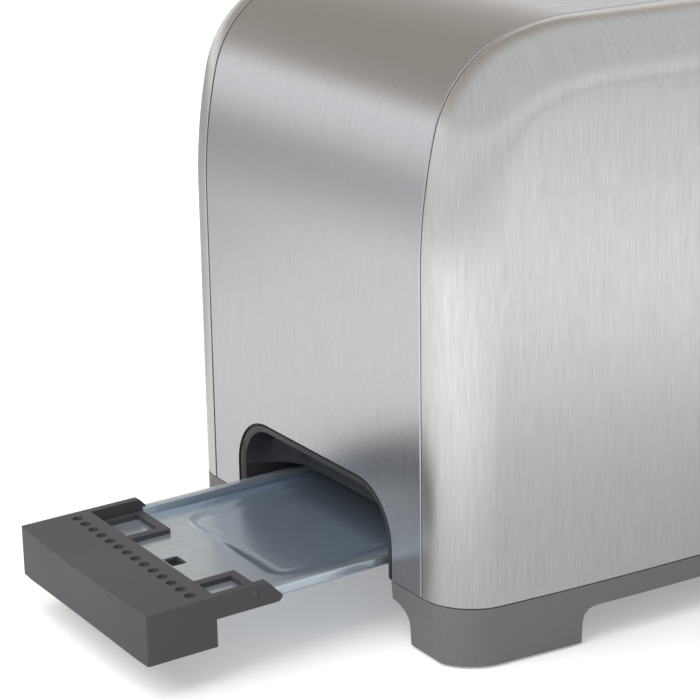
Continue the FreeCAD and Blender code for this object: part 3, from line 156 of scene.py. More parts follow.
paper = bpy.data.materials.new("matt_white_floor")
tree = empty_tree(paper)
rays = add(tree, "ShaderNodeLightPath")
seen = add(tree, "ShaderNodeMath", {0: rays.outputs["Is Camera Ray"], 1: rays.outputs["Is Transmission Ray"]},
           operation="MAXIMUM")
place = add(tree, "ShaderNodeTexCoord").outputs["Object"]
away = add(tree, "ShaderNodeVectorMath", {0: place}, operation="LENGTH")
# The steel mirrors a painted pool of light: a glow on the floor that only glossy rays see, in front of and beside
# the toaster. Near the toaster it fades out, which is painted shade in the reflections. In front of it the pool rises
# and falls with the distance, to the left it is lower and even, and it ends along a slanting line behind the left
# corner.
painted_pool_peak = 0.72
rise = add(tree, "ShaderNodeMapRange", {0: away.outputs["Value"], 1: 0.17, 2: 0.46, 3: 0.0, 4: painted_pool_peak},
           interpolation_type="SMOOTHSTEP")
fall = add(tree, "ShaderNodeMapRange", {0: away.outputs["Value"], 1: 0.44, 2: 0.9, 3: painted_pool_peak, 4: 0.28})
front = add(tree, "ShaderNodeMath", {0: rise.outputs[0], 1: fall.outputs[0]}, operation="MINIMUM")
left = add(tree, "ShaderNodeMapRange", {0: away.outputs["Value"], 1: 0.16, 2: 0.38, 3: 0.26, 4: 0.36},
           interpolation_type="SMOOTHSTEP")
depth = add(tree, "ShaderNodeSeparateXYZ", {0: place})
side = add(tree, "ShaderNodeMapRange", {0: depth.outputs["Y"], 1: -0.12, 2: 0.1}, interpolation_type="SMOOTHSTEP")
near = add(tree, "ShaderNodeMix", {0: side.outputs[0], 2: front.outputs[0], 3: left.outputs[0]})
slant = add(tree, "ShaderNodeVectorMath", {0: place, 1: (0.9, 1.0, 0.0)}, operation="DOT_PRODUCT")
painted_light_pool = add(tree, "ShaderNodeMapRange", {0: slant.outputs["Value"], 1: 0.07, 2: 0.145, 3: near.outputs[0], 4: 0.0},
           interpolation_type="SMOOTHSTEP")
painted_glossy_glow = add(tree, "ShaderNodeMath", {0: rays.outputs["Is Glossy Ray"], 1: painted_light_pool.outputs[0]}, operation="MULTIPLY")
# A painted glow that only the camera sees turns the floor white with the distance, and is weaker near the toaster.
whiter = add(tree, "ShaderNodeMapRange", {0: away.outputs["Value"], 1: 0.25, 2: 0.7, 3: 0.30, 4: 0.9})
lift = add(tree, "ShaderNodeMath", {0: seen.outputs[0], 1: whiter.outputs[0], 2: painted_glossy_glow.outputs[0]},
           operation="MULTIPLY_ADD")
# Glossy rays see a darker floor colour than the camera does: painted shade in the reflections.
tone = add(tree, "ShaderNodeMix", {0: rays.outputs["Is Glossy Ray"], 6: linear("#e4e4e4"), 7: linear("#cecece")},
           data_type="RGBA")
matt = add(tree, "ShaderNodeBsdfDiffuse", {"Color": tone.outputs[2]})
glow = add(tree, "ShaderNodeEmission", {"Color": linear("#ffffff"), "Strength": lift.outputs[0]})
both = add(tree, "ShaderNodeAddShader", {0: matt.outputs[0], 1: glow.outputs[0]})
add(tree, "ShaderNodeOutputMaterial", {"Surface": both.outputs[0]})
ground = bpy.data.meshes.new("white_floor")
reach = 6
ground.from_pydata([(-reach, -reach, 0), (reach, -reach, 0), (reach, reach, 0), (-reach, reach, 0)], [], [(0, 1, 2, 3)])
ground.materials.append(paper)
floor = bpy.data.objects.new("white_floor", ground)
scene.collection.objects.link(floor)
floor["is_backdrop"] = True


# End band: one strip of 0.8 mm brushed stainless steel bent over the left end, the top and the right end. The
# tray opening, the fascia's opening and two bread slots are stamped out, and the slots' edges are turned down.
sheet = 0.8
body_length, body_height, skin_bottom = 286.0, 189.0, 19.75
middle_x = body_length / 2
half_depth = 85.5
band_edge = 59.85
origin_x = 112.85
edge_turn = 35


def outline_table():
    """Arc length, turn, x and z of the body's outline from foot to foot, every 0.05 mm: an upright, arcs of 165, 36
    and 82 mm that turn 14, 58 and 18 degrees, half the flat top, then the same mirrored. The turn is straight lines
    over the arc length, and x and z are the running sums of its sine and cosine."""
    radii, turns = np.array([165.0, 36.0, 82.0]), np.radians([14.0, 58.0, 18.0])
    after = np.cumsum(turns)
    before = after - turns
    upright = body_height - skin_bottom - (radii * (np.sin(after) - np.sin(before))).sum()
    flat = middle_x - (radii * (np.cos(before) - np.cos(after))).sum()
    length = np.cumsum(np.concatenate([[0, upright], radii * turns, [flat]]))
    turn = np.concatenate([[0, 0], after, [after[-1]]])
    length = np.concatenate([length, 2 * length[-1] - length[-2::-1]])
    turn = np.concatenate([turn, math.pi - turn[-2::-1]])
    s = np.linspace(0, length[-1], int(length[-1] / 0.05))
    a = np.interp(s, length, turn)
    ahead = (a[1:] + a[:-1]) / 2
    run = np.diff(s)
    x = np.concatenate([[0], np.cumsum(run * np.sin(ahead))])
    z = skin_bottom + np.concatenate([[0], np.cumsum(run * np.cos(ahead))])
    return length, s, a, x, z


outline_marks, outline_s, outline_turn, outline_x, outline_z = outline_table()


def outline(s, inset=0.0):
    """x, z and the outward way (-cos turn, sin turn) at arc length s, drawn in by inset against that way."""
    turn = np.interp(s, outline_s, outline_turn)
    out_x, out_z = -np.cos(turn), np.sin(turn)
    return (np.interp(s, outline_s, outline_x) - inset * out_x, np.interp(s, outline_s, outline_z) - inset * out_z,
            out_x, out_z)


def quads(rows, columns, round_rows=False, round_columns=False):
    """The corners of each cell of a rows x columns grid of points; round_ joins the last row or column to the first."""
    r = np.arange(rows if round_rows else rows - 1)[:, None]
    c = np.arange(columns if round_columns else columns - 1)[None, :]
    below, beside = (r + 1) % rows, (c + 1) % columns
    return np.stack([r * columns + c, r * columns + beside, below * columns + beside, below * columns + c],
                    -1).reshape(-1, 4)


def make(name, points, faces, body, material, stands_for=(), flat=None, crease=40):
    """A piece from points in millimetres, measured from the body's left end, and corner numbers of its faces. flat
    gives each point its place on the flat blank, in metres, as the UV map flat. Doubled points are merged."""
    place = (np.asarray(points, float).reshape(-1, 3) - (origin_x, 0, 0)) / 1000
    mesh = bpy.data.meshes.new(name)
    mesh.from_pydata(place.tolist(), [], [list(map(int, face)) for face in faces])
    if flat is not None:
        corner = np.empty(len(mesh.loops), np.int32)
        mesh.loops.foreach_get("vertex_index", corner)
        layer = mesh.uv_layers.new(name="flat")
        layer.data.foreach_set("uv", (np.asarray(flat, float).reshape(-1, 2) / 1000)[corner].ravel())
    solid = bmesh.new()
    solid.from_mesh(mesh)
    bmesh.ops.remove_doubles(solid, verts=solid.verts, dist=1e-6)
    solid.to_mesh(mesh)
    solid.free()
    return settle(bpy.data.objects.new(name, mesh), body, material, stands_for, crease)


def settle(piece, body, material, stands_for, crease):
    """Puts a piece in the scene, smooth except at creases, on its body and material."""
    scene.collection.objects.link(piece)
    piece.data.materials.clear()
    piece.data.materials.append(material)
    piece.data.shade_smooth()
    piece.data.set_sharp_from_angle(angle=math.radians(crease))
    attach(piece, body)
    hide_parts(*stands_for)
    return piece


def thicken(piece, thickness):
    """Gives a sheet its thickness, inwards from the face that was drawn. Its cut edges, where an edge has one face,
    are sharp."""
    mesh = piece.data
    edge, sharp = np.empty(len(mesh.loops), np.int32), np.empty(len(mesh.edges), bool)
    mesh.loops.foreach_get("edge_index", edge)
    mesh.edges.foreach_get("use_edge_sharp", sharp)
    mesh.edges.foreach_set("use_edge_sharp", sharp | (np.bincount(edge, minlength=len(sharp)) == 1))
    wall = piece.modifiers.new("sheet_thickness", "SOLIDIFY")
    wall.thickness, wall.offset = thickness / 1000, -1


def round_edges(piece, radius, segments=2):
    """Rounds every edge that turns by more than edge_turn degrees."""
    edge = piece.modifiers.new("edge_rounding", "BEVEL")
    edge.width, edge.segments, edge.limit_method = radius / 1000, segments, "ANGLE"
    edge.angle_limit, edge.harden_normals, edge.miter_outer = math.radians(edge_turn), True, "MITER_ARC"
    piece.modifiers.new("flat_faces_shade_flat", "WEIGHTED_NORMAL").keep_sharp = True


# Brushed stainless steel, number 4 finish: belt-ground lines a few hundredths of a millimetre wide, drawn here
# 0.4 mm wide so that they show. They draw each reflection out across the lines and leave the sheen uneven.
def brushed_steel(name, colour, roughness, contrast):
    """Metal whose lines run along V of the flat blank: noise stretched 30 times along them tints and roughens it."""
    material = bpy.data.materials.new(name)
    tree = empty_tree(material)
    blank = add(tree, "ShaderNodeUVMap", uv_map="flat")
    fine = add(tree, "ShaderNodeTexNoise",
               {"Vector": add(tree, "ShaderNodeMapping", {0: blank.outputs[0], "Scale": (2600, 85, 1)}).outputs[0],
                "Scale": 1.0, "Detail": 4.0, "Roughness": 0.65}, noise_dimensions="2D")
    broad = add(tree, "ShaderNodeTexNoise",
                {"Vector": add(tree, "ShaderNodeMapping", {0: blank.outputs[0], "Scale": (650, 24, 1)}).outputs[0],
                 "Scale": 1.0, "Detail": 3.0, "Roughness": 0.6}, noise_dimensions="2D")
    lines = add(tree, "ShaderNodeMix", {0: 0.2, 2: fine.outputs[0], 3: broad.outputs[0]})
    tint = add(tree, "ShaderNodeMapRange", {0: lines.outputs[0], 1: 0.3, 2: 0.7, 3: 0.0, 4: 1.0})
    shade = add(tree, "ShaderNodeMix", {0: tint.outputs[0], 6: scaled(colour, contrast), 7: linear(colour)},
                data_type="RGBA")
    rough = add(tree, "ShaderNodeMapRange", {0: lines.outputs[0], 1: 0.25, 2: 0.75, 3: roughness + 0.05,
                                             4: roughness - 0.04})
    relief = add(tree, "ShaderNodeBump", {"Strength": 0.12, "Distance": 0.00006, "Height": lines.outputs[0]})
    across = add(tree, "ShaderNodeTangent", direction_type="UV_MAP", uv_map="flat")
    surface = add(tree, "ShaderNodeBsdfPrincipled",
                  {"Base Color": shade.outputs[2], "Metallic": 1.0, "Roughness": rough.outputs[0],
                   "Anisotropic": 0.55, "Tangent": across.outputs[0], "Normal": relief.outputs[0]})
    add(tree, "ShaderNodeOutputMaterial", {"Surface": surface.outputs[0]})
    return material


band_steel = brushed_steel("brushed_stainless_band", "#c3c3c7", 0.28, 0.92)


def stretch(first, last, step):
    """Values from first towards last, about step apart, without last itself."""
    return np.linspace(first, last, max(2, int(round(abs(last - first) / step)) + 1))[:-1]


def end_band():
    """Rows across the strip at outline lengths s, columns at -edge, -B, -A, A, B and edge with even steps between,
    where A and B are the sides of the openings at that s: B leaves a quarter circle r (1 - sin) narrower at each
    rounded corner. Both long edges turn in over their last 0.55 mm on an arc of 0.7 mm radius. Cells inside an
    opening are left out, and each slot's rim goes on as a lip: a quarter circle of 1.2 mm downwards and a straight
    wall."""
    bend, lip_bottom, edge_width, edge_radius = 1.2, 183.0, 0.55, 0.7
    slot_in, slot_out, slot_left, slot_right, slot_round = 12, 44, 78, 208, 5
    core_in, core_out, core = slot_in + slot_round, slot_out - slot_round, 26.8
    tray_top, tray_round = 48.35, 17.9
    fascia_low, fascia_high, fascia_round = 36.9, 116.8, 14.3
    quarter = np.radians(np.linspace(0, 90, 13))
    sine, cosine = np.sin(quarter[:-1]), np.cos(quarter[:-1])
    total, upright = outline_marks[-1], outline_marks[1]
    rows, a, b, hole = [], [], [], []

    def run(s, outer, kind, inner=core_in):
        s = np.atleast_1d(s)
        rows.append(s)
        a.append(np.broadcast_to(inner, s.shape))
        b.append(np.broadcast_to(outer, s.shape))
        hole.append(np.full(s.shape, kind))

    top = tray_top - skin_bottom
    run(stretch(0, top - tray_round, 3), core + tray_round, 1)
    run(top - tray_round + tray_round * sine, core + tray_round * cosine, 1)
    run(stretch(top, upright, 3), core, 0)
    for first, last, step in zip(outline_marks[1:4], outline_marks[2:5], (3, 1.2, 2)):
        run(stretch(first, last, step), core, 0)
    slot_start, slot_end = (outline_marks[5] - middle_x + x for x in (slot_left - bend, slot_right + bend))
    lead = stretch(outline_marks[4], slot_start, 3)
    run(lead, np.interp(lead, (outline_marks[4], slot_start), (core, core_out)), 0)
    r, rim_in, rim_out = slot_round + bend, slot_in - bend, slot_out + bend
    run(slot_start + r - r * cosine, rim_out - r * (1 - sine), 2, rim_in + r * (1 - sine))
    run(stretch(slot_start + r, slot_end - r, 4), rim_out, 2, rim_in)
    run(slot_end - r + r * sine, rim_out - r * (1 - cosine), 2, rim_in + r * (1 - cosine))
    tail = stretch(slot_end, outline_marks[6], 3)
    run(tail, np.interp(tail, (slot_end, outline_marks[6]), (core_out, core)), 0)
    for first, last, step in zip(outline_marks[6:9], outline_marks[7:10], (2, 1.2, 3)):
        run(stretch(first, last, step), core, 0)
    low, high = total + skin_bottom - fascia_high, total + skin_bottom - fascia_low
    run(stretch(outline_marks[9], low, 1.5), core, 0)
    run(low + fascia_round - fascia_round * cosine, core + fascia_round * sine, 1)
    run(stretch(low + fascia_round, high - fascia_round, 4), core + fascia_round, 1)
    run(high - fascia_round + fascia_round * sine, core + fascia_round * cosine, 1)
    run(np.append(stretch(high, total, 3), total), core, 0)
    s, a, b, hole = (np.concatenate(part) for part in (rows, a, b, hole))

    turned_in = np.broadcast_to(np.array([0, 0.08, 0.18, 0.3, 0.42])[:, None] - band_edge, (5, len(s)))
    flat_edge = np.full(len(s), band_edge - edge_width)
    marks = np.stack([-flat_edge, -b, -a, a, b, flat_edge])
    even = [marks[i] + (marks[i + 1] - marks[i]) * (np.arange(n) / n)[:, None] for i, n in enumerate((4, 7, 9, 7, 4))]
    y = np.concatenate([turned_in, *even, marks[-1:], -turned_in[::-1]]).T
    lean = np.maximum(edge_width - (band_edge - np.abs(y)), 0)
    along = np.broadcast_to(s[:, None], y.shape)
    x, z, _, _ = outline(along, edge_radius - np.sqrt(edge_radius ** 2 - lean ** 2))
    points, blank = np.stack([x, y, z], -1), np.stack([y, along], -1)
    columns = y.shape[1]
    group = np.repeat(np.arange(5), (9, 7, 9, 7, 9))
    open_cell = ((hole[:-1, None] == 1) & (group > 0) & (group < 4)) | ((hole[:-1, None] == 2) & (group % 2 == 1))
    faces = quads(len(s), columns)[~open_cell.ravel()][:, ::-1]

    points, blank = points.reshape(-1, 3), blank.reshape(-1, 2)
    fifths = np.radians((18, 36, 54, 72, 90))
    turned = np.concatenate([bend * np.sin(fifths), [bend] * 4])
    fallen = np.concatenate([bend * (1 - np.cos(fifths)), np.linspace(bend, body_height - lip_bottom, 5)[1:]])
    developed = np.concatenate([bend * fifths, bend * fifths[-1] + fallen[5:] - bend])
    inside = np.flatnonzero(hole == 2)
    r0, r1 = inside[0], inside[-1] + 1
    for left, right in ((9, 16), (25, 32)):
        down = np.arange(r0, r1)
        loop = np.concatenate([r0 * columns + np.arange(left, right), down * columns + right,
                               r1 * columns + np.arange(right, left, -1), down[::-1] * columns + columns + left])
        rim = points[loop]
        side = np.sign(rim[:, 1].mean())
        middle = np.stack([np.clip(rim[:, 0], slot_left + slot_round, slot_right - slot_round),
                           side * np.clip(side * rim[:, 1], core_in, core_out)], -1)
        out = rim[:, :2] - middle
        out /= np.linalg.norm(out, axis=1)[:, None]
        rings = np.repeat(rim[None], 9, 0)
        rings[..., :2] -= out * turned[:, None, None]
        rings[..., 2] -= fallen[:, None]
        wall = blank[loop][None] - out[None, :, ::-1] * developed[:, None, None]
        ring_faces = quads(10, len(loop), round_columns=True)
        number = np.concatenate([loop, len(points) + np.arange(9 * len(loop))])
        faces = np.concatenate([faces, number[ring_faces]])
        points = np.concatenate([points, rings.reshape(-1, 3)])
        blank = np.concatenate([blank, wall.reshape(-1, 2)])
    return points, faces, blank


points, faces, blank = end_band()
band = make("end_band_sheet", points, faces, "housing", band_steel, ["end_band"], blank)
thicken(band, sheet)
round_edges(band, 0.22)


# Front and rear panels: deep-drawn shells of the same steel, polished lines upright, with a face that bows out by
# 9 mm and an 18 mm rolled edge. A stepped flange goes in under the band's edge, and the base carries them below.
panel_steel = brushed_steel("brushed_stainless_panel", "#d2d2d2", 0.31, 0.82)
bow_rise, roll_radius = 9.2, 18.0
bow_radius = (middle_x ** 2 + bow_rise ** 2) / (2 * bow_rise)


def drawn_panel(side):
    """Stations along the outline at roll_radius inside it, and across each the points middle + radius (side sin(c -
    t) + face sin t) / sin c, which turn from the side to the bowed face as t goes from 0 to the corner c between
    them, from where it leaves the flange's stepped rows. The face is columns of points on the bow from the foot up
    to the end of the rounding. side is -1 for the front and 1 for the rear, which mirrors it."""
    foot_rows, turn_steps, rim = 34, 18, -band_edge - 0.55
    marks = outline_marks
    spans = zip(marks[1:9], marks[2:10], (3, 1.2, 2, 4, 4, 2, 1.2, 3))
    s = np.concatenate([np.linspace(0, marks[1], foot_rows + 1)[:-1], *(stretch(a, b, step) for a, b, step in spans),
                        np.linspace(marks[9], marks[10], foot_rows + 1)])
    x, z, out_x, out_z = outline(s, roll_radius)
    out = np.stack([out_x, np.zeros_like(s), out_z], -1)
    reach = bow_radius - roll_radius
    face = np.stack([x - middle_x, -np.sqrt(reach ** 2 - (x - middle_x) ** 2), np.zeros_like(s)], -1)
    middle = np.stack([x, bow_radius - half_depth + face[:, 1], z], -1)
    face /= np.linalg.norm(face, axis=1)[:, None]
    corner = np.arccos((out * face).sum(1))
    behind = np.clip((rim - 0.3 - middle[:, 1]) * np.sin(corner) / (roll_radius * face[:, 1]), 0, 1)
    start = np.arcsin(behind)
    turn = start[:, None] + (corner - start)[:, None] * np.linspace(0, 1, turn_steps + 1)
    spread = out[:, None] * np.sin(corner[:, None] - turn)[..., None] + face[:, None] * np.sin(turn)[..., None]
    rolled = middle[:, None] + roll_radius * spread / np.sin(corner)[:, None, None]
    skirt = []
    for inset, y in ((1.15, rim + 7), (1.15, rim + 0.14), (1.1, rim + 0.04), (1.0, rim), (0.25, rim),
                     (0.07, rim - 0.07), (0.0, rim - 0.25)):
        edge_x, edge_z, _, _ = outline(s, inset)
        skirt.append(np.stack([edge_x, np.full_like(s, y), edge_z], -1))
    shell = np.concatenate([np.stack(skirt, 1), rolled], 1)
    step = np.linalg.norm(np.diff(shell, axis=1), axis=2)
    run = np.concatenate([np.zeros((len(s), 1)), np.cumsum(step, 1)], 1)
    run = run[:, -1:] - run
    flat_shell = np.stack([rolled[:, -1:, 0] + out[:, None, 0] * run, rolled[:, -1:, 2] + out[:, None, 2] * run], -1)
    top = rolled[foot_rows:len(s) - foot_rows, -1]
    share = np.linspace(0, 1, foot_rows + 1)[:, None]
    columns = np.stack([np.broadcast_to(top[:, 0], (foot_rows + 1, len(top))),
                        np.broadcast_to(top[:, 1], (foot_rows + 1, len(top))),
                        skin_bottom + (top[:, 2] - skin_bottom) * share], -1)
    columns[:, 0], columns[:, -1] = rolled[:foot_rows + 1, -1], rolled[:-foot_rows - 2:-1, -1]
    points = np.concatenate([shell.reshape(-1, 3), columns.reshape(-1, 3)])
    blank = np.concatenate([flat_shell.reshape(-1, 2), columns.reshape(-1, 3)[:, (0, 2)]])
    shell_faces = quads(len(s), shell.shape[1])
    column_faces = quads(foot_rows + 1, len(top)) + shell.shape[0] * shell.shape[1]
    faces = np.concatenate([shell_faces, column_faces])
    if side > 0:
        points, blank, faces = points * (1, -1, 1), blank + (400, 0), faces[:, ::-1]
    return points, faces, blank


for name, side in (("front", -1), ("rear", 1)):
    points, faces, blank = drawn_panel(side)
    panel = make(name + "_panel_sheet", points, faces, "housing", panel_steel, [name + "_panel"], blank)
    thicken(panel, sheet)


# Base: a dark grey ABS moulding with a fine spark-eroded texture, feet at its corners and long arches between them.
def moulded_plastic(name, colour, roughness, grain=0.35, relief=0.03):
    """Plastic with the matt texture of its mould: noise with lumps of grain mm raises it by up to relief mm, and a
    broad noise of 40 mm leaves the sheen a little uneven."""
    material = bpy.data.materials.new(name)
    tree = empty_tree(material)
    place = add(tree, "ShaderNodeTexCoord").outputs["Object"]
    lumps = add(tree, "ShaderNodeTexNoise", {"Vector": place, "Scale": 1000 / grain, "Detail": 2.0})
    broad = add(tree, "ShaderNodeTexNoise", {"Vector": place, "Scale": 25.0, "Detail": 2.0})
    rough = add(tree, "ShaderNodeMapRange", {0: broad.outputs[0], 1: 0.3, 2: 0.7, 3: roughness - 0.04,
                                             4: roughness + 0.05})
    tint = add(tree, "ShaderNodeMapRange", {0: lumps.outputs[0], 1: 0.3, 2: 0.7, 3: 0.0, 4: 1.0})
    shade = add(tree, "ShaderNodeMix", {0: tint.outputs[0], 6: scaled(colour, 0.9), 7: scaled(colour, 1.06)},
                data_type="RGBA")
    bump = add(tree, "ShaderNodeBump", {"Strength": 0.5, "Distance": relief / 1000, "Height": lumps.outputs[0]})
    surface = add(tree, "ShaderNodeBsdfPrincipled", {"Base Color": shade.outputs[2], "Roughness": rough.outputs[0],
                                                     "IOR": 1.52, "Normal": bump.outputs[0]})
    add(tree, "ShaderNodeOutputMaterial", {"Surface": surface.outputs[0]})
    return material


def moulded(node, body, material, radius, segments=2, join=True):
    """A copy of a CAD node with its doubled points merged, its flat faces joined and its sharp edges rounded."""
    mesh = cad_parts[node].data.copy()
    solid = bmesh.new()
    solid.from_mesh(mesh)
    bmesh.ops.remove_doubles(solid, verts=solid.verts, dist=2e-6)
    if join:
        bmesh.ops.dissolve_limit(solid, angle_limit=math.radians(0.5), verts=solid.verts, edges=solid.edges)
    solid.to_mesh(mesh)
    solid.free()
    piece = settle(bpy.data.objects.new(node + "_moulding", mesh), body, material, [node], edge_turn)
    round_edges(piece, radius, segments)
    return piece


base_plastic = moulded_plastic("textured_abs_base", "#6c6c6d", 0.55)
base = moulded("base_frame", "housing", base_plastic, 0.35)
# The rounded ends of the arches under the tray and the fascia are flattened to the photo's.
arch_y, arch_z, arch_radius, flattened = 44.3, 5.4, 8, 0.72
for point in base.data.vertices:
    y, z = abs(point.co.y) * 1000 - arch_y, point.co.z * 1000 - arch_z
    if abs(math.hypot(y, z) - arch_radius) < 0.05 and y > -0.01 and z > -0.01:
        point.co.z = (arch_z + arch_radius - (arch_radius - z) * flattened) / 1000


# Tray opening liner: a near-black ABS surround pushed into the band from behind, scooped above the tray for fingers.
# Its rim leaves a dark line round it, slopes in by 0.6 mm over its 2 mm width and stops at the band's lower edge.
liner_plastic = moulded_plastic("textured_abs_liner", "#303033", 0.5)
liner = moulded("tray_opening_liner", "housing", liner_plastic, 0.4)
rim_core_y, rim_core_z, rim_face, rim_outer, rim_inner, liner_back, base_edge = 26.8, 30.5, 0.8, 17, 14, 25, 19.4
for point in liner.data.vertices:
    x, y, z = point.co * 1000 + Vector((origin_x, 0, 0))
    out = Vector((0, y - min(max(y, -rim_core_y), rim_core_y), z - min(z, rim_core_z)))
    if x < rim_face and out.length > rim_outer - 0.5:
        point.co -= out.normalized() * 0.0003
    elif x < rim_face and abs(out.length - rim_inner) < 0.5:
        point.co += out.normalized() * 0.0008 + Vector((0.0006, 0, 0))
    if z < 17.5 and x < liner_back:
        point.co.z = base_edge / 1000


# Tray handle: satin grey ABS with a bowed face, two window frames over the tray and a row of round dimples that
# grip the fingers. Each dimple is a cup with a small rolled mouth. The catch in the tray's square hole is hollow.
handle_plastic = moulded_plastic("satin_abs_handle", "#444347", 0.55, 0.3, 0.02)
handle = moulded("tray_handle", "crumb_tray", handle_plastic, 0.3, join=False)
catch_x, catch_top, catch_floor = -50.1, 22.6, 20.6
for point in handle.data.vertices:
    x, y, z = point.co * 1000 + Vector((origin_x, 0, 0))
    if abs(x - catch_x) < 2.5 and abs(y) < 3.2 and z > catch_top:
        point.co.z = catch_floor / 1000
mouth = np.array([(2.05, 0.012), (1.92, 0.02), (1.78, -0.03), (1.68, -0.16), (1.6, -0.7), (1.45, -1.25), (1.1, -1.6),
                  (0.6, -1.74), (0.05, -1.78)])
round_steps = 24
round_turn = np.linspace(0, 2 * np.pi, round_steps + 1)[:-1]
cup = np.stack([mouth[:, :1] * np.cos(round_turn), mouth[:, :1] * np.sin(round_turn),
                np.broadcast_to(mouth[:, 1:], (len(mouth), round_steps))], -1)
cup_count, cup_x, cup_pitch, handle_top = 14, -64.9, 5.45, 28.7
cup_y = (np.arange(cup_count) - (cup_count - 1) / 2) * cup_pitch
cups = cup[None] + np.stack([np.full(cup_count, cup_x), cup_y, np.full(cup_count, handle_top)], -1)[:, None, None]
cup_faces = quads(len(mouth), round_steps, round_columns=True)
cup_faces = np.concatenate([cup_faces + i * cup[..., 0].size for i in range(cup_count)])
make("handle_dimples", cups, cup_faces, "crumb_tray", handle_plastic)
pip_radius = np.array([1.7, 1.6, 1.3, 0.9, 0.5, 0.05])[:, None]
pip_x, pip_y, pip_z, pip_height = -45.8, -41.25, 25.6, 0.8
pip_bulge = np.broadcast_to(pip_y + pip_height * (pip_radius / pip_radius[0]) ** 2, (len(pip_radius), round_steps))
pip = np.stack([pip_radius * np.cos(round_turn) + pip_x, pip_bulge, pip_radius * np.sin(round_turn) + pip_z], -1)
pip_faces = quads(len(pip_radius), round_steps, round_columns=True)
make("handle_arm_pips", np.concatenate([pip, pip * (1, -1, 1)]),
     np.concatenate([pip_faces[:, ::-1], pip_faces + pip[..., 0].size]), "crumb_tray",
     handle_plastic)


# Crumb tray: thin galvanised sheet with its long edges rolled over a wire, a pressed ring and a shallow pressed
# floor inside it, and a front plate with a square hole that snaps on to the handle.
def rounded_distance(x, y, half_x, half_y, radius):
    """Distance from the outline of a rounded rectangle, negative inside it."""
    qx, qy = np.abs(x) - (half_x - radius), np.abs(y) - (half_y - radius)
    return np.hypot(np.maximum(qx, 0), np.maximum(qy, 0)) + np.minimum(np.maximum(qx, qy), 0) - radius


def ease(value, first, last):
    """0 at first, 1 at last, and a smooth cubic between."""
    t = np.clip((value - first) / (last - first), 0, 1)
    return t * t * (3 - 2 * t)


def tray_pan():
    """A closed profile, floor above and below with hems 3.2 wide and 3.6 mm high whose corners are quarter circles,
    carried along x. Inside a rounded rectangle the floor slopes down by 0.62 mm and then comes up by 0.12 mm."""
    start, end, half, top, bottom = -40.8, 128.0, 39.8, 23.1, 22.4
    turn = np.radians(np.concatenate([np.linspace(-90, 0, 8), np.linspace(0, 90, 8), np.linspace(90, 180, 8)]))
    corners = np.array([(half - 1.5, 23.9, 1.5), (half - 0.6, 25.4, 0.6), (half - 2.6, 25.4, 0.6)])
    corner_y, corner_z, radius = corners.repeat(8, 0).T
    roll_y, roll_z = corner_y + radius * np.cos(turn), corner_z + radius * np.sin(turn)
    inner = np.array([half - 3.21, half - 3.35, half - 3.6])
    inner_z = np.array([top + 0.4, top + 0.1, top])
    floor_y, below_y = np.linspace(36.2, -36.2, 150), np.linspace(-38.0, 38.0, 120)
    y = np.concatenate([below_y, roll_y, inner, floor_y, -inner[::-1], -roll_y[::-1]])
    z = np.concatenate([np.full(120, bottom), roll_z, inner_z, np.full(150, top), inner_z[::-1], roll_z[::-1]])
    x = np.linspace(start, end, 300)
    ring_start, ring_end, ring_half, ring_radius = -32, 118, 30.0, 8.0
    ring = rounded_distance(x[:, None] - (ring_start + ring_end) / 2, y, (ring_end - ring_start) / 2, ring_half,
                            ring_radius)
    dent = 0.62 * ease(-ring, 0, 3.6) - 0.12 * ease(-ring, 4.4, 5.6)
    z = np.broadcast_to(z, ring.shape) - dent * (np.abs(y) < 36.4) * (z < top + 0.1)
    points = np.stack([np.broadcast_to(x[:, None], ring.shape), np.broadcast_to(y, ring.shape), z], -1)
    faces = quads(len(x), len(y), round_columns=True).tolist()
    faces += [list(range(len(y))), list(range(len(y) * len(x) - 1, len(y) * (len(x) - 1) - 1, -1))]
    return points, faces


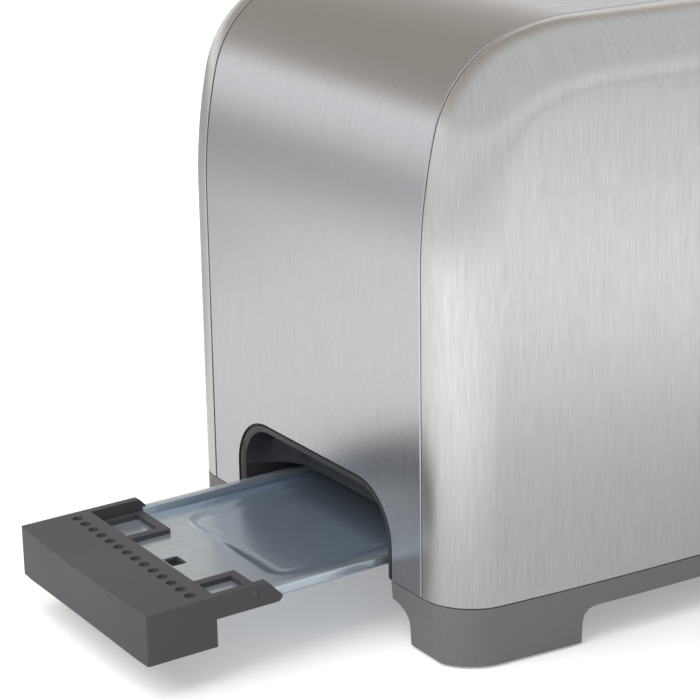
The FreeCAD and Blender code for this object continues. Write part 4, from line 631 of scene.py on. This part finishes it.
def galvanised(name, colour, roughness, spangle, metallic=1.0, painted_shade_colour=None):
    """Zinc-coated sheet: flat crystals, Voronoi cells spangle mm wide, differ a little in tone and sheen, over the
    fine noise of the rolled sheet below them. A second colour takes over on the floor towards the heaters: painted
    shade and a painted reflection of the dark opening."""
    material = bpy.data.materials.new(name)
    tree = empty_tree(material)
    place = add(tree, "ShaderNodeTexCoord").outputs["Object"]
    cells = add(tree, "ShaderNodeTexVoronoi", {"Vector": place, "Scale": 1000 / spangle})
    tone = add(tree, "ShaderNodeSeparateColor", {0: cells.outputs["Color"]})
    rolled = add(tree, "ShaderNodeTexNoise",
                 {"Vector": add(tree, "ShaderNodeMapping", {0: place, "Scale": (60, 900, 900)}).outputs[0],
                  "Scale": 1.0, "Detail": 3.0})
    mixed = add(tree, "ShaderNodeMix", {0: 0.5, 2: tone.outputs[0], 3: rolled.outputs[0]})
    shade = add(tree, "ShaderNodeMix", {0: mixed.outputs[0], 6: scaled(colour, 0.92), 7: scaled(colour, 1.06)},
                data_type="RGBA")
    if painted_shade_colour:
        # Painted shade: the floor goes bluer and darker towards its inner end, in place of the dark opening's
        # reflection.
        shade_start, shade_end, floor_z, hem_z = -0.165, -0.105, 0.0234, 0.0242
        where = add(tree, "ShaderNodeSeparateXYZ", {0: place})
        inwards = add(tree, "ShaderNodeMapRange", {0: where.outputs["X"], 1: shade_start, 2: shade_end},
                      interpolation_type="SMOOTHSTEP")
        low = add(tree, "ShaderNodeMapRange", {0: where.outputs["Z"], 1: floor_z, 2: hem_z, 3: 1.0, 4: 0.0})
        painted_shade = add(tree, "ShaderNodeMath", {0: inwards.outputs[0], 1: low.outputs[0]}, operation="MULTIPLY")
        shade = add(tree, "ShaderNodeMix", {0: painted_shade.outputs[0], 6: shade.outputs[2], 7: linear(painted_shade_colour)},
                    data_type="RGBA")
    rough = add(tree, "ShaderNodeMapRange", {0: mixed.outputs[0], 1: 0.2, 2: 0.8, 3: roughness - 0.03,
                                             4: roughness + 0.03})
    bump = add(tree, "ShaderNodeBump", {"Strength": 0.05, "Distance": 0.00005, "Height": rolled.outputs[0]})
    surface = add(tree, "ShaderNodeBsdfPrincipled", {"Base Color": shade.outputs[2], "Metallic": metallic,
                                                     "Roughness": rough.outputs[0], "Normal": bump.outputs[0]})
    add(tree, "ShaderNodeOutputMaterial", {"Surface": surface.outputs[0]})
    return material


# The second colour paints shade and the dark opening's reflection on the tray's floor towards the heaters.
tray_steel = galvanised("galvanised_tray_sheet", "#cbd7e2", 0.22, 1.2, 0.8, "#b6cae0")
points, faces = tray_pan()
make("tray_pan", points, faces, "crumb_tray", tray_steel, ["crumb_tray"])
plate_x, plate_y = (-78.2, -66, -52.6, -47.6, -40.6), (-37.8, -20, -3.25, 3.25, 20, 37.8)
plate = np.stack(np.broadcast_arrays(np.array(plate_x)[:, None], np.array(plate_y), 23.1), -1)
cells = np.delete(quads(5, 6), 12, 0)
front_plate = make("tray_front_plate", plate, cells[:, ::-1], "crumb_tray", tray_steel)
thicken(front_plate, 0.7)
round_edges(front_plate, 0.15)


# Foot pads: black nitrile rubber pressed into pockets under the feet.
pad_rubber = moulded_plastic("nitrile_rubber_pad", "#1c1c1c", 0.75, 0.5)


def finish_node(node, material):
    """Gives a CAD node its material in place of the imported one."""
    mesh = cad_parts[node].data
    mesh.materials.clear()
    mesh.materials.append(material)


finish_node("foot_pads", pad_rubber)


# Control fascia: a dark ABS frame clipped into the band's opening, with a raised browning scale round the dial.
# The dial, the lever's knob and the three push buttons are satin ABS like the handle.
moulded("control_bezel", "housing", liner_plastic, 0.35)
moulded("browning_knob", "dial", handle_plastic, 0.5, 3)
moulded("lever_knob", "carriage", handle_plastic, 1.0, 4)
for level in ("low", "middle", "high"):
    moulded("push_button_" + level, "button_" + level, handle_plastic, 0.5, 3)

pad_print = moulded_plastic("white_pad_printing", "#d8d8d6", 0.5, 0.2, 0.01)


def raised_bars(name, ends, widths, low, high, body):
    """Bars with flat tops at x = high on a surface at x = low: each is the rectangle between two ends (y, z), width
    wide, with sides that lean in by a fifth of their height."""
    ends, widths = np.asarray(ends, float), np.asarray(widths, float)[:, None]
    along = ends[:, 1] - ends[:, 0]
    along /= np.linalg.norm(along, axis=1)[:, None]
    side = np.stack([-along[:, 1], along[:, 0]], -1) * widths / 2
    corners = np.stack([ends[:, 0] - side, ends[:, 1] - side, ends[:, 1] + side, ends[:, 0] + side], 1)
    centre = corners.mean(1, keepdims=True)
    upper = corners - (corners - centre) / np.linalg.norm(corners - centre, axis=2, keepdims=True) * (high - low) / 5
    points = np.concatenate([np.dstack([np.full(corners.shape[:2], low), corners]),
                             np.dstack([np.full(corners.shape[:2], high), upper])], 1)
    one = np.array([(0, 1, 5, 4), (1, 2, 6, 5), (2, 3, 7, 6), (3, 0, 4, 7), (4, 5, 6, 7), (3, 2, 1, 0)])
    faces = np.concatenate([one + 8 * i for i in range(len(ends))])
    return make(name, points, faces, body, pad_print)


fascia_x, grip_x, dial_y, dial_z = 287.4, 302.0, 29.0, 78.0
mark_turn = np.radians(np.linspace(-120, 120, 7))
mark_way = np.stack([np.sin(mark_turn), np.cos(mark_turn)], -1)
scale = np.stack([mark_way * 14.0, mark_way * 15.1], 1)
raised_bars("browning_scale", scale + (dial_y, dial_z), np.linspace(0.4, 1.3, 7), fascia_x - 0.05, fascia_x + 0.15,
            "housing")
raised_bars("dial_pointer", [[(dial_y, dial_z + 4), (dial_y, dial_z + 10)]], [0.9], grip_x - 0.1, grip_x + 0.12,
            "dial")

lens_amber = bpy.data.materials.new("tinted_polycarbonate_lens")
tree = empty_tree(lens_amber)
ribs = add(tree, "ShaderNodeTexWave", {0: add(tree, "ShaderNodeTexCoord").outputs["Object"], "Scale": 450.0},
           bands_direction="Z")
bump = add(tree, "ShaderNodeBump", {"Strength": 0.3, "Distance": 0.0001, "Height": ribs.outputs[1]})
surface = add(tree, "ShaderNodeBsdfPrincipled", {"Base Color": linear("#c9642a"), "Roughness": 0.22, "IOR": 1.585,
                                                 "Transmission Weight": 0.25, "Normal": bump.outputs[0]})
add(tree, "ShaderNodeOutputMaterial", {"Surface": surface.outputs[0]})
finish_node("indicator_lenses", lens_amber)


# Chassis: galvanised plates and frame that carry everything inside, the vented bottom plate, and the rails that
# the tray's rolled edges run in. The plates are cropped from coil, so their crystals are larger than the tray's.
chassis_steel = galvanised("galvanised_chassis_sheet", "#b9bfc4", 0.36, 3.5)
for node in ("bottom_plate", "tray_rails", "chassis_plate_left", "chassis_plate_right", "chassis_top_frame",
             "carriage"):
    finish_node(node, chassis_steel)

# The tray's tail: a low wall across its inner end.
tail = np.array([[(127.3, -36.5, 22.5), (127.3, 36.5, 22.5)], [(127.3, -36.5, 26.0), (127.3, 36.5, 26.0)]])
tail_wall = make("tray_tail_wall", tail, quads(2, 2), "crumb_tray", tray_steel)
thicken(tail_wall, 0.7)


# Base screws: zinc-plated pan heads, 7 mm across with a cross recess, driven up into the base from below.
def screw_heads(places):
    """Heads turned round their axis: radius against depth is a flat bearing ring, then a dome 1.9 mm deep. The cross
    is where points within 0.55 mm of either middle line and 2.2 mm of the axis are pushed in by up to 0.9 mm."""
    radius = np.concatenate([[3.5], 3.5 * np.cos(np.radians(np.linspace(8, 60, 5))), np.linspace(1.7, 0.02, 9)])
    depth = np.concatenate([[0.0], 0.35 + 1.2 * np.sin(np.radians(np.linspace(8, 60, 5))), np.linspace(1.46, 1.55, 9)])
    turn = np.linspace(0, 2 * np.pi, 49)[:-1]
    x, y = radius[:, None] * np.cos(turn), radius[:, None] * np.sin(turn)
    slot = np.minimum(np.abs(x), np.abs(y))
    dent = 0.9 * (1 - ease(slot, 0.35, 0.6)) * (1 - ease(np.hypot(x, y), 1.7, 2.2))
    head = np.stack([x, y, dent - depth[:, None]], -1)
    points = head[None] + np.asarray(places, float)[:, None, None]
    faces = quads(len(radius), len(turn), round_columns=True)
    return points, np.concatenate([faces[:, ::-1] + i * len(turn) * len(radius) for i in range(len(places))])


zinc = galvanised("bright_zinc_plating", "#c9ccd0", 0.25, 1.0)
screw_seat = 12.12
points, faces = screw_heads([(x, y, screw_seat) for x in (52.5, 233.5) for y in (-51, 51)])
make("base_screws", points, faces, "housing", zinc)


# Heaters: muscovite mica boards, pale straw with silvery flakes, each wound with nichrome ribbon that the first
# heats have tinted brown.
mica = bpy.data.materials.new("muscovite_mica_board")
tree = empty_tree(mica)
place = add(tree, "ShaderNodeTexCoord").outputs["Object"]
flakes = add(tree, "ShaderNodeTexVoronoi", {"Vector": place, "Scale": 260.0, "Randomness": 1.0})
cloud = add(tree, "ShaderNodeTexNoise", {"Vector": place, "Scale": 60.0, "Detail": 5.0})
grey = add(tree, "ShaderNodeSeparateColor", {0: flakes.outputs["Color"]})
mixed = add(tree, "ShaderNodeMix", {0: 0.5, 2: grey.outputs[0], 3: cloud.outputs[0]})
shade = add(tree, "ShaderNodeMix", {0: mixed.outputs[0], 6: linear("#a8977a"), 7: linear("#d9cdb2")}, data_type="RGBA")
gloss = add(tree, "ShaderNodeMapRange", {0: grey.outputs[0], 3: 0.3, 4: 0.65})
surface = add(tree, "ShaderNodeBsdfPrincipled", {"Base Color": shade.outputs[2], "Roughness": gloss.outputs[0],
                                                 "IOR": 1.58})
add(tree, "ShaderNodeOutputMaterial", {"Surface": surface.outputs[0]})

nichrome = galvanised("heat_tinted_nichrome", "#6f6257", 0.38, 6.0)
for row in ("front", "centre_front", "centre_rear", "rear"):
    finish_node("heater_board_" + row, mica)
    finish_node("heater_ribbon_" + row, nichrome)


# Guards, bread carriers, shields and guide rod: bright nickel-plated steel, a little uneven from the drawing die.
plated = galvanised("nickel_plated_steel", "#cfccc6", 0.24, 4.0)
for node in ["heat_shield_front", "heat_shield_rear", "bread_carrier_front", "bread_carrier_rear", "guide_rod"] + [
        "bread_guard_%s_%s" % (slot, wall) for slot in ("front", "rear") for wall in ("outer", "inner")]:
    finish_node(node, plated)


# Return spring: 0.9 mm spring steel wound round the guide rod, closed at both ends.
def coil_spring(low, high, turns, radius, wire):
    """A round wire carried along a helix: angle 2 pi times turns times t, and height eased at both ends so that the
    last turns lie together. The wire's section turns with the helix, and each end is closed."""
    t = np.linspace(0, 1, turns * 24 + 1)
    angle = 2 * np.pi * turns * t
    dead = wire / (high - low) * 1.1
    share = np.interp(t, [0, 1 / turns, 1 - 1 / turns, 1], [0, dead, 1 - dead, 1])
    height = low + wire / 2 + (high - low - wire) * share
    centre = np.stack([radius * np.cos(angle), radius * np.sin(angle), height], -1)
    ahead = np.gradient(centre, axis=0)
    ahead /= np.linalg.norm(ahead, axis=1)[:, None]
    out = np.stack([np.cos(angle), np.sin(angle), np.zeros_like(angle)], -1)
    lift = np.cross(ahead, out)
    section = np.linspace(0, 2 * np.pi, 11)[:-1]
    points = centre[:, None] + wire / 2 * (np.cos(section)[:, None] * out[:, None] + np.sin(section)[:, None] *
                                           lift[:, None])
    last = len(section) * (len(t) - 1)
    faces = quads(len(t), len(section), round_columns=True)[:, ::-1].tolist()
    return points, faces + [list(range(len(section)))[::-1], list(range(last, last + len(section)))]


spring_low, spring_high = (corner.z * 1000 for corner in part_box("return_spring"))
points, faces = coil_spring(spring_low, spring_high, 15, 4.6, 0.9)
oiled = galvanised("oiled_spring_steel", "#6b6c70", 0.3, 5.0)
rod_x, rod_y = 230, 25
spring = make("return_spring_coil", points + (rod_x, rod_y, 0), faces, "housing", oiled,
              ["return_spring"])
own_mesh(spring)


# Latch: laminated iron, seen as plates half a millimetre thick, with a coil of varnished copper wire round it.
def striped(name, dark, light, pitch, along, metallic, roughness):
    """Thin layers along one axis: a wave of this pitch in mm tints and grooves the surface between them."""
    material = bpy.data.materials.new(name)
    tree = empty_tree(material)
    place = add(tree, "ShaderNodeTexCoord").outputs["Object"]
    wave = add(tree, "ShaderNodeTexWave", {0: place, "Scale": 1000 / pitch / 20 * math.pi, "Distortion": 0.4},
               bands_direction=along)
    speck = add(tree, "ShaderNodeTexNoise", {"Vector": place, "Scale": 300.0, "Detail": 3.0})
    mixed = add(tree, "ShaderNodeMix", {0: 0.3, 2: wave.outputs[1], 3: speck.outputs[0]})
    shade = add(tree, "ShaderNodeMix", {0: mixed.outputs[0], 6: linear(dark), 7: linear(light)}, data_type="RGBA")
    bump = add(tree, "ShaderNodeBump", {"Strength": 0.6, "Distance": 0.0001, "Height": wave.outputs[1]})
    surface = add(tree, "ShaderNodeBsdfPrincipled", {"Base Color": shade.outputs[2], "Metallic": metallic,
                                                     "Roughness": roughness, "Normal": bump.outputs[0]})
    add(tree, "ShaderNodeOutputMaterial", {"Surface": surface.outputs[0]})
    return material


iron = striped("laminated_silicon_iron", "#3a3a3d", "#6d6d70", 0.5, "Y", 1.0, 0.45)
copper = striped("varnished_copper_winding", "#7a3514", "#c26a33", 0.4, "Z", 0.0, 0.25)
finish_node("latch_keeper", iron)
finish_node("magnet_core", iron)
finish_node("magnet_coil", copper)


# Circuit board: glass epoxy under green solder mask, with its relay, capacitor, controller and push switches. The
# mains switch, potentiometer, dial shaft and cord bush are black glass-filled nylon.
fr4 = bpy.data.materials.new("green_solder_mask_board")
tree = empty_tree(fr4)
place = add(tree, "ShaderNodeTexCoord").outputs["Object"]
tracks = add(tree, "ShaderNodeTexVoronoi", {"Vector": place, "Scale": 160.0}, feature="DISTANCE_TO_EDGE")
line = add(tree, "ShaderNodeMapRange", {0: tracks.outputs[0], 1: 0.05, 2: 0.09, 3: 1.0, 4: 0.0})
shade = add(tree, "ShaderNodeMix", {0: line.outputs[0], 6: linear("#14512f"), 7: linear("#2c7a49")}, data_type="RGBA")
bump = add(tree, "ShaderNodeBump", {"Strength": 0.4, "Distance": 0.00005, "Height": line.outputs[0]})
surface = add(tree, "ShaderNodeBsdfPrincipled", {"Base Color": shade.outputs[2], "Roughness": 0.32, "IOR": 1.5,
                                                 "Normal": bump.outputs[0]})
add(tree, "ShaderNodeOutputMaterial", {"Surface": surface.outputs[0]})
finish_node("control_board", fr4)
nylon = moulded_plastic("black_glass_filled_nylon", "#232325", 0.4, 0.5)
for node in ("board_parts", "potentiometer", "dial_shaft", "mains_switch", "cord_bush"):
    finish_node(node, nylon)


low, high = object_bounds()
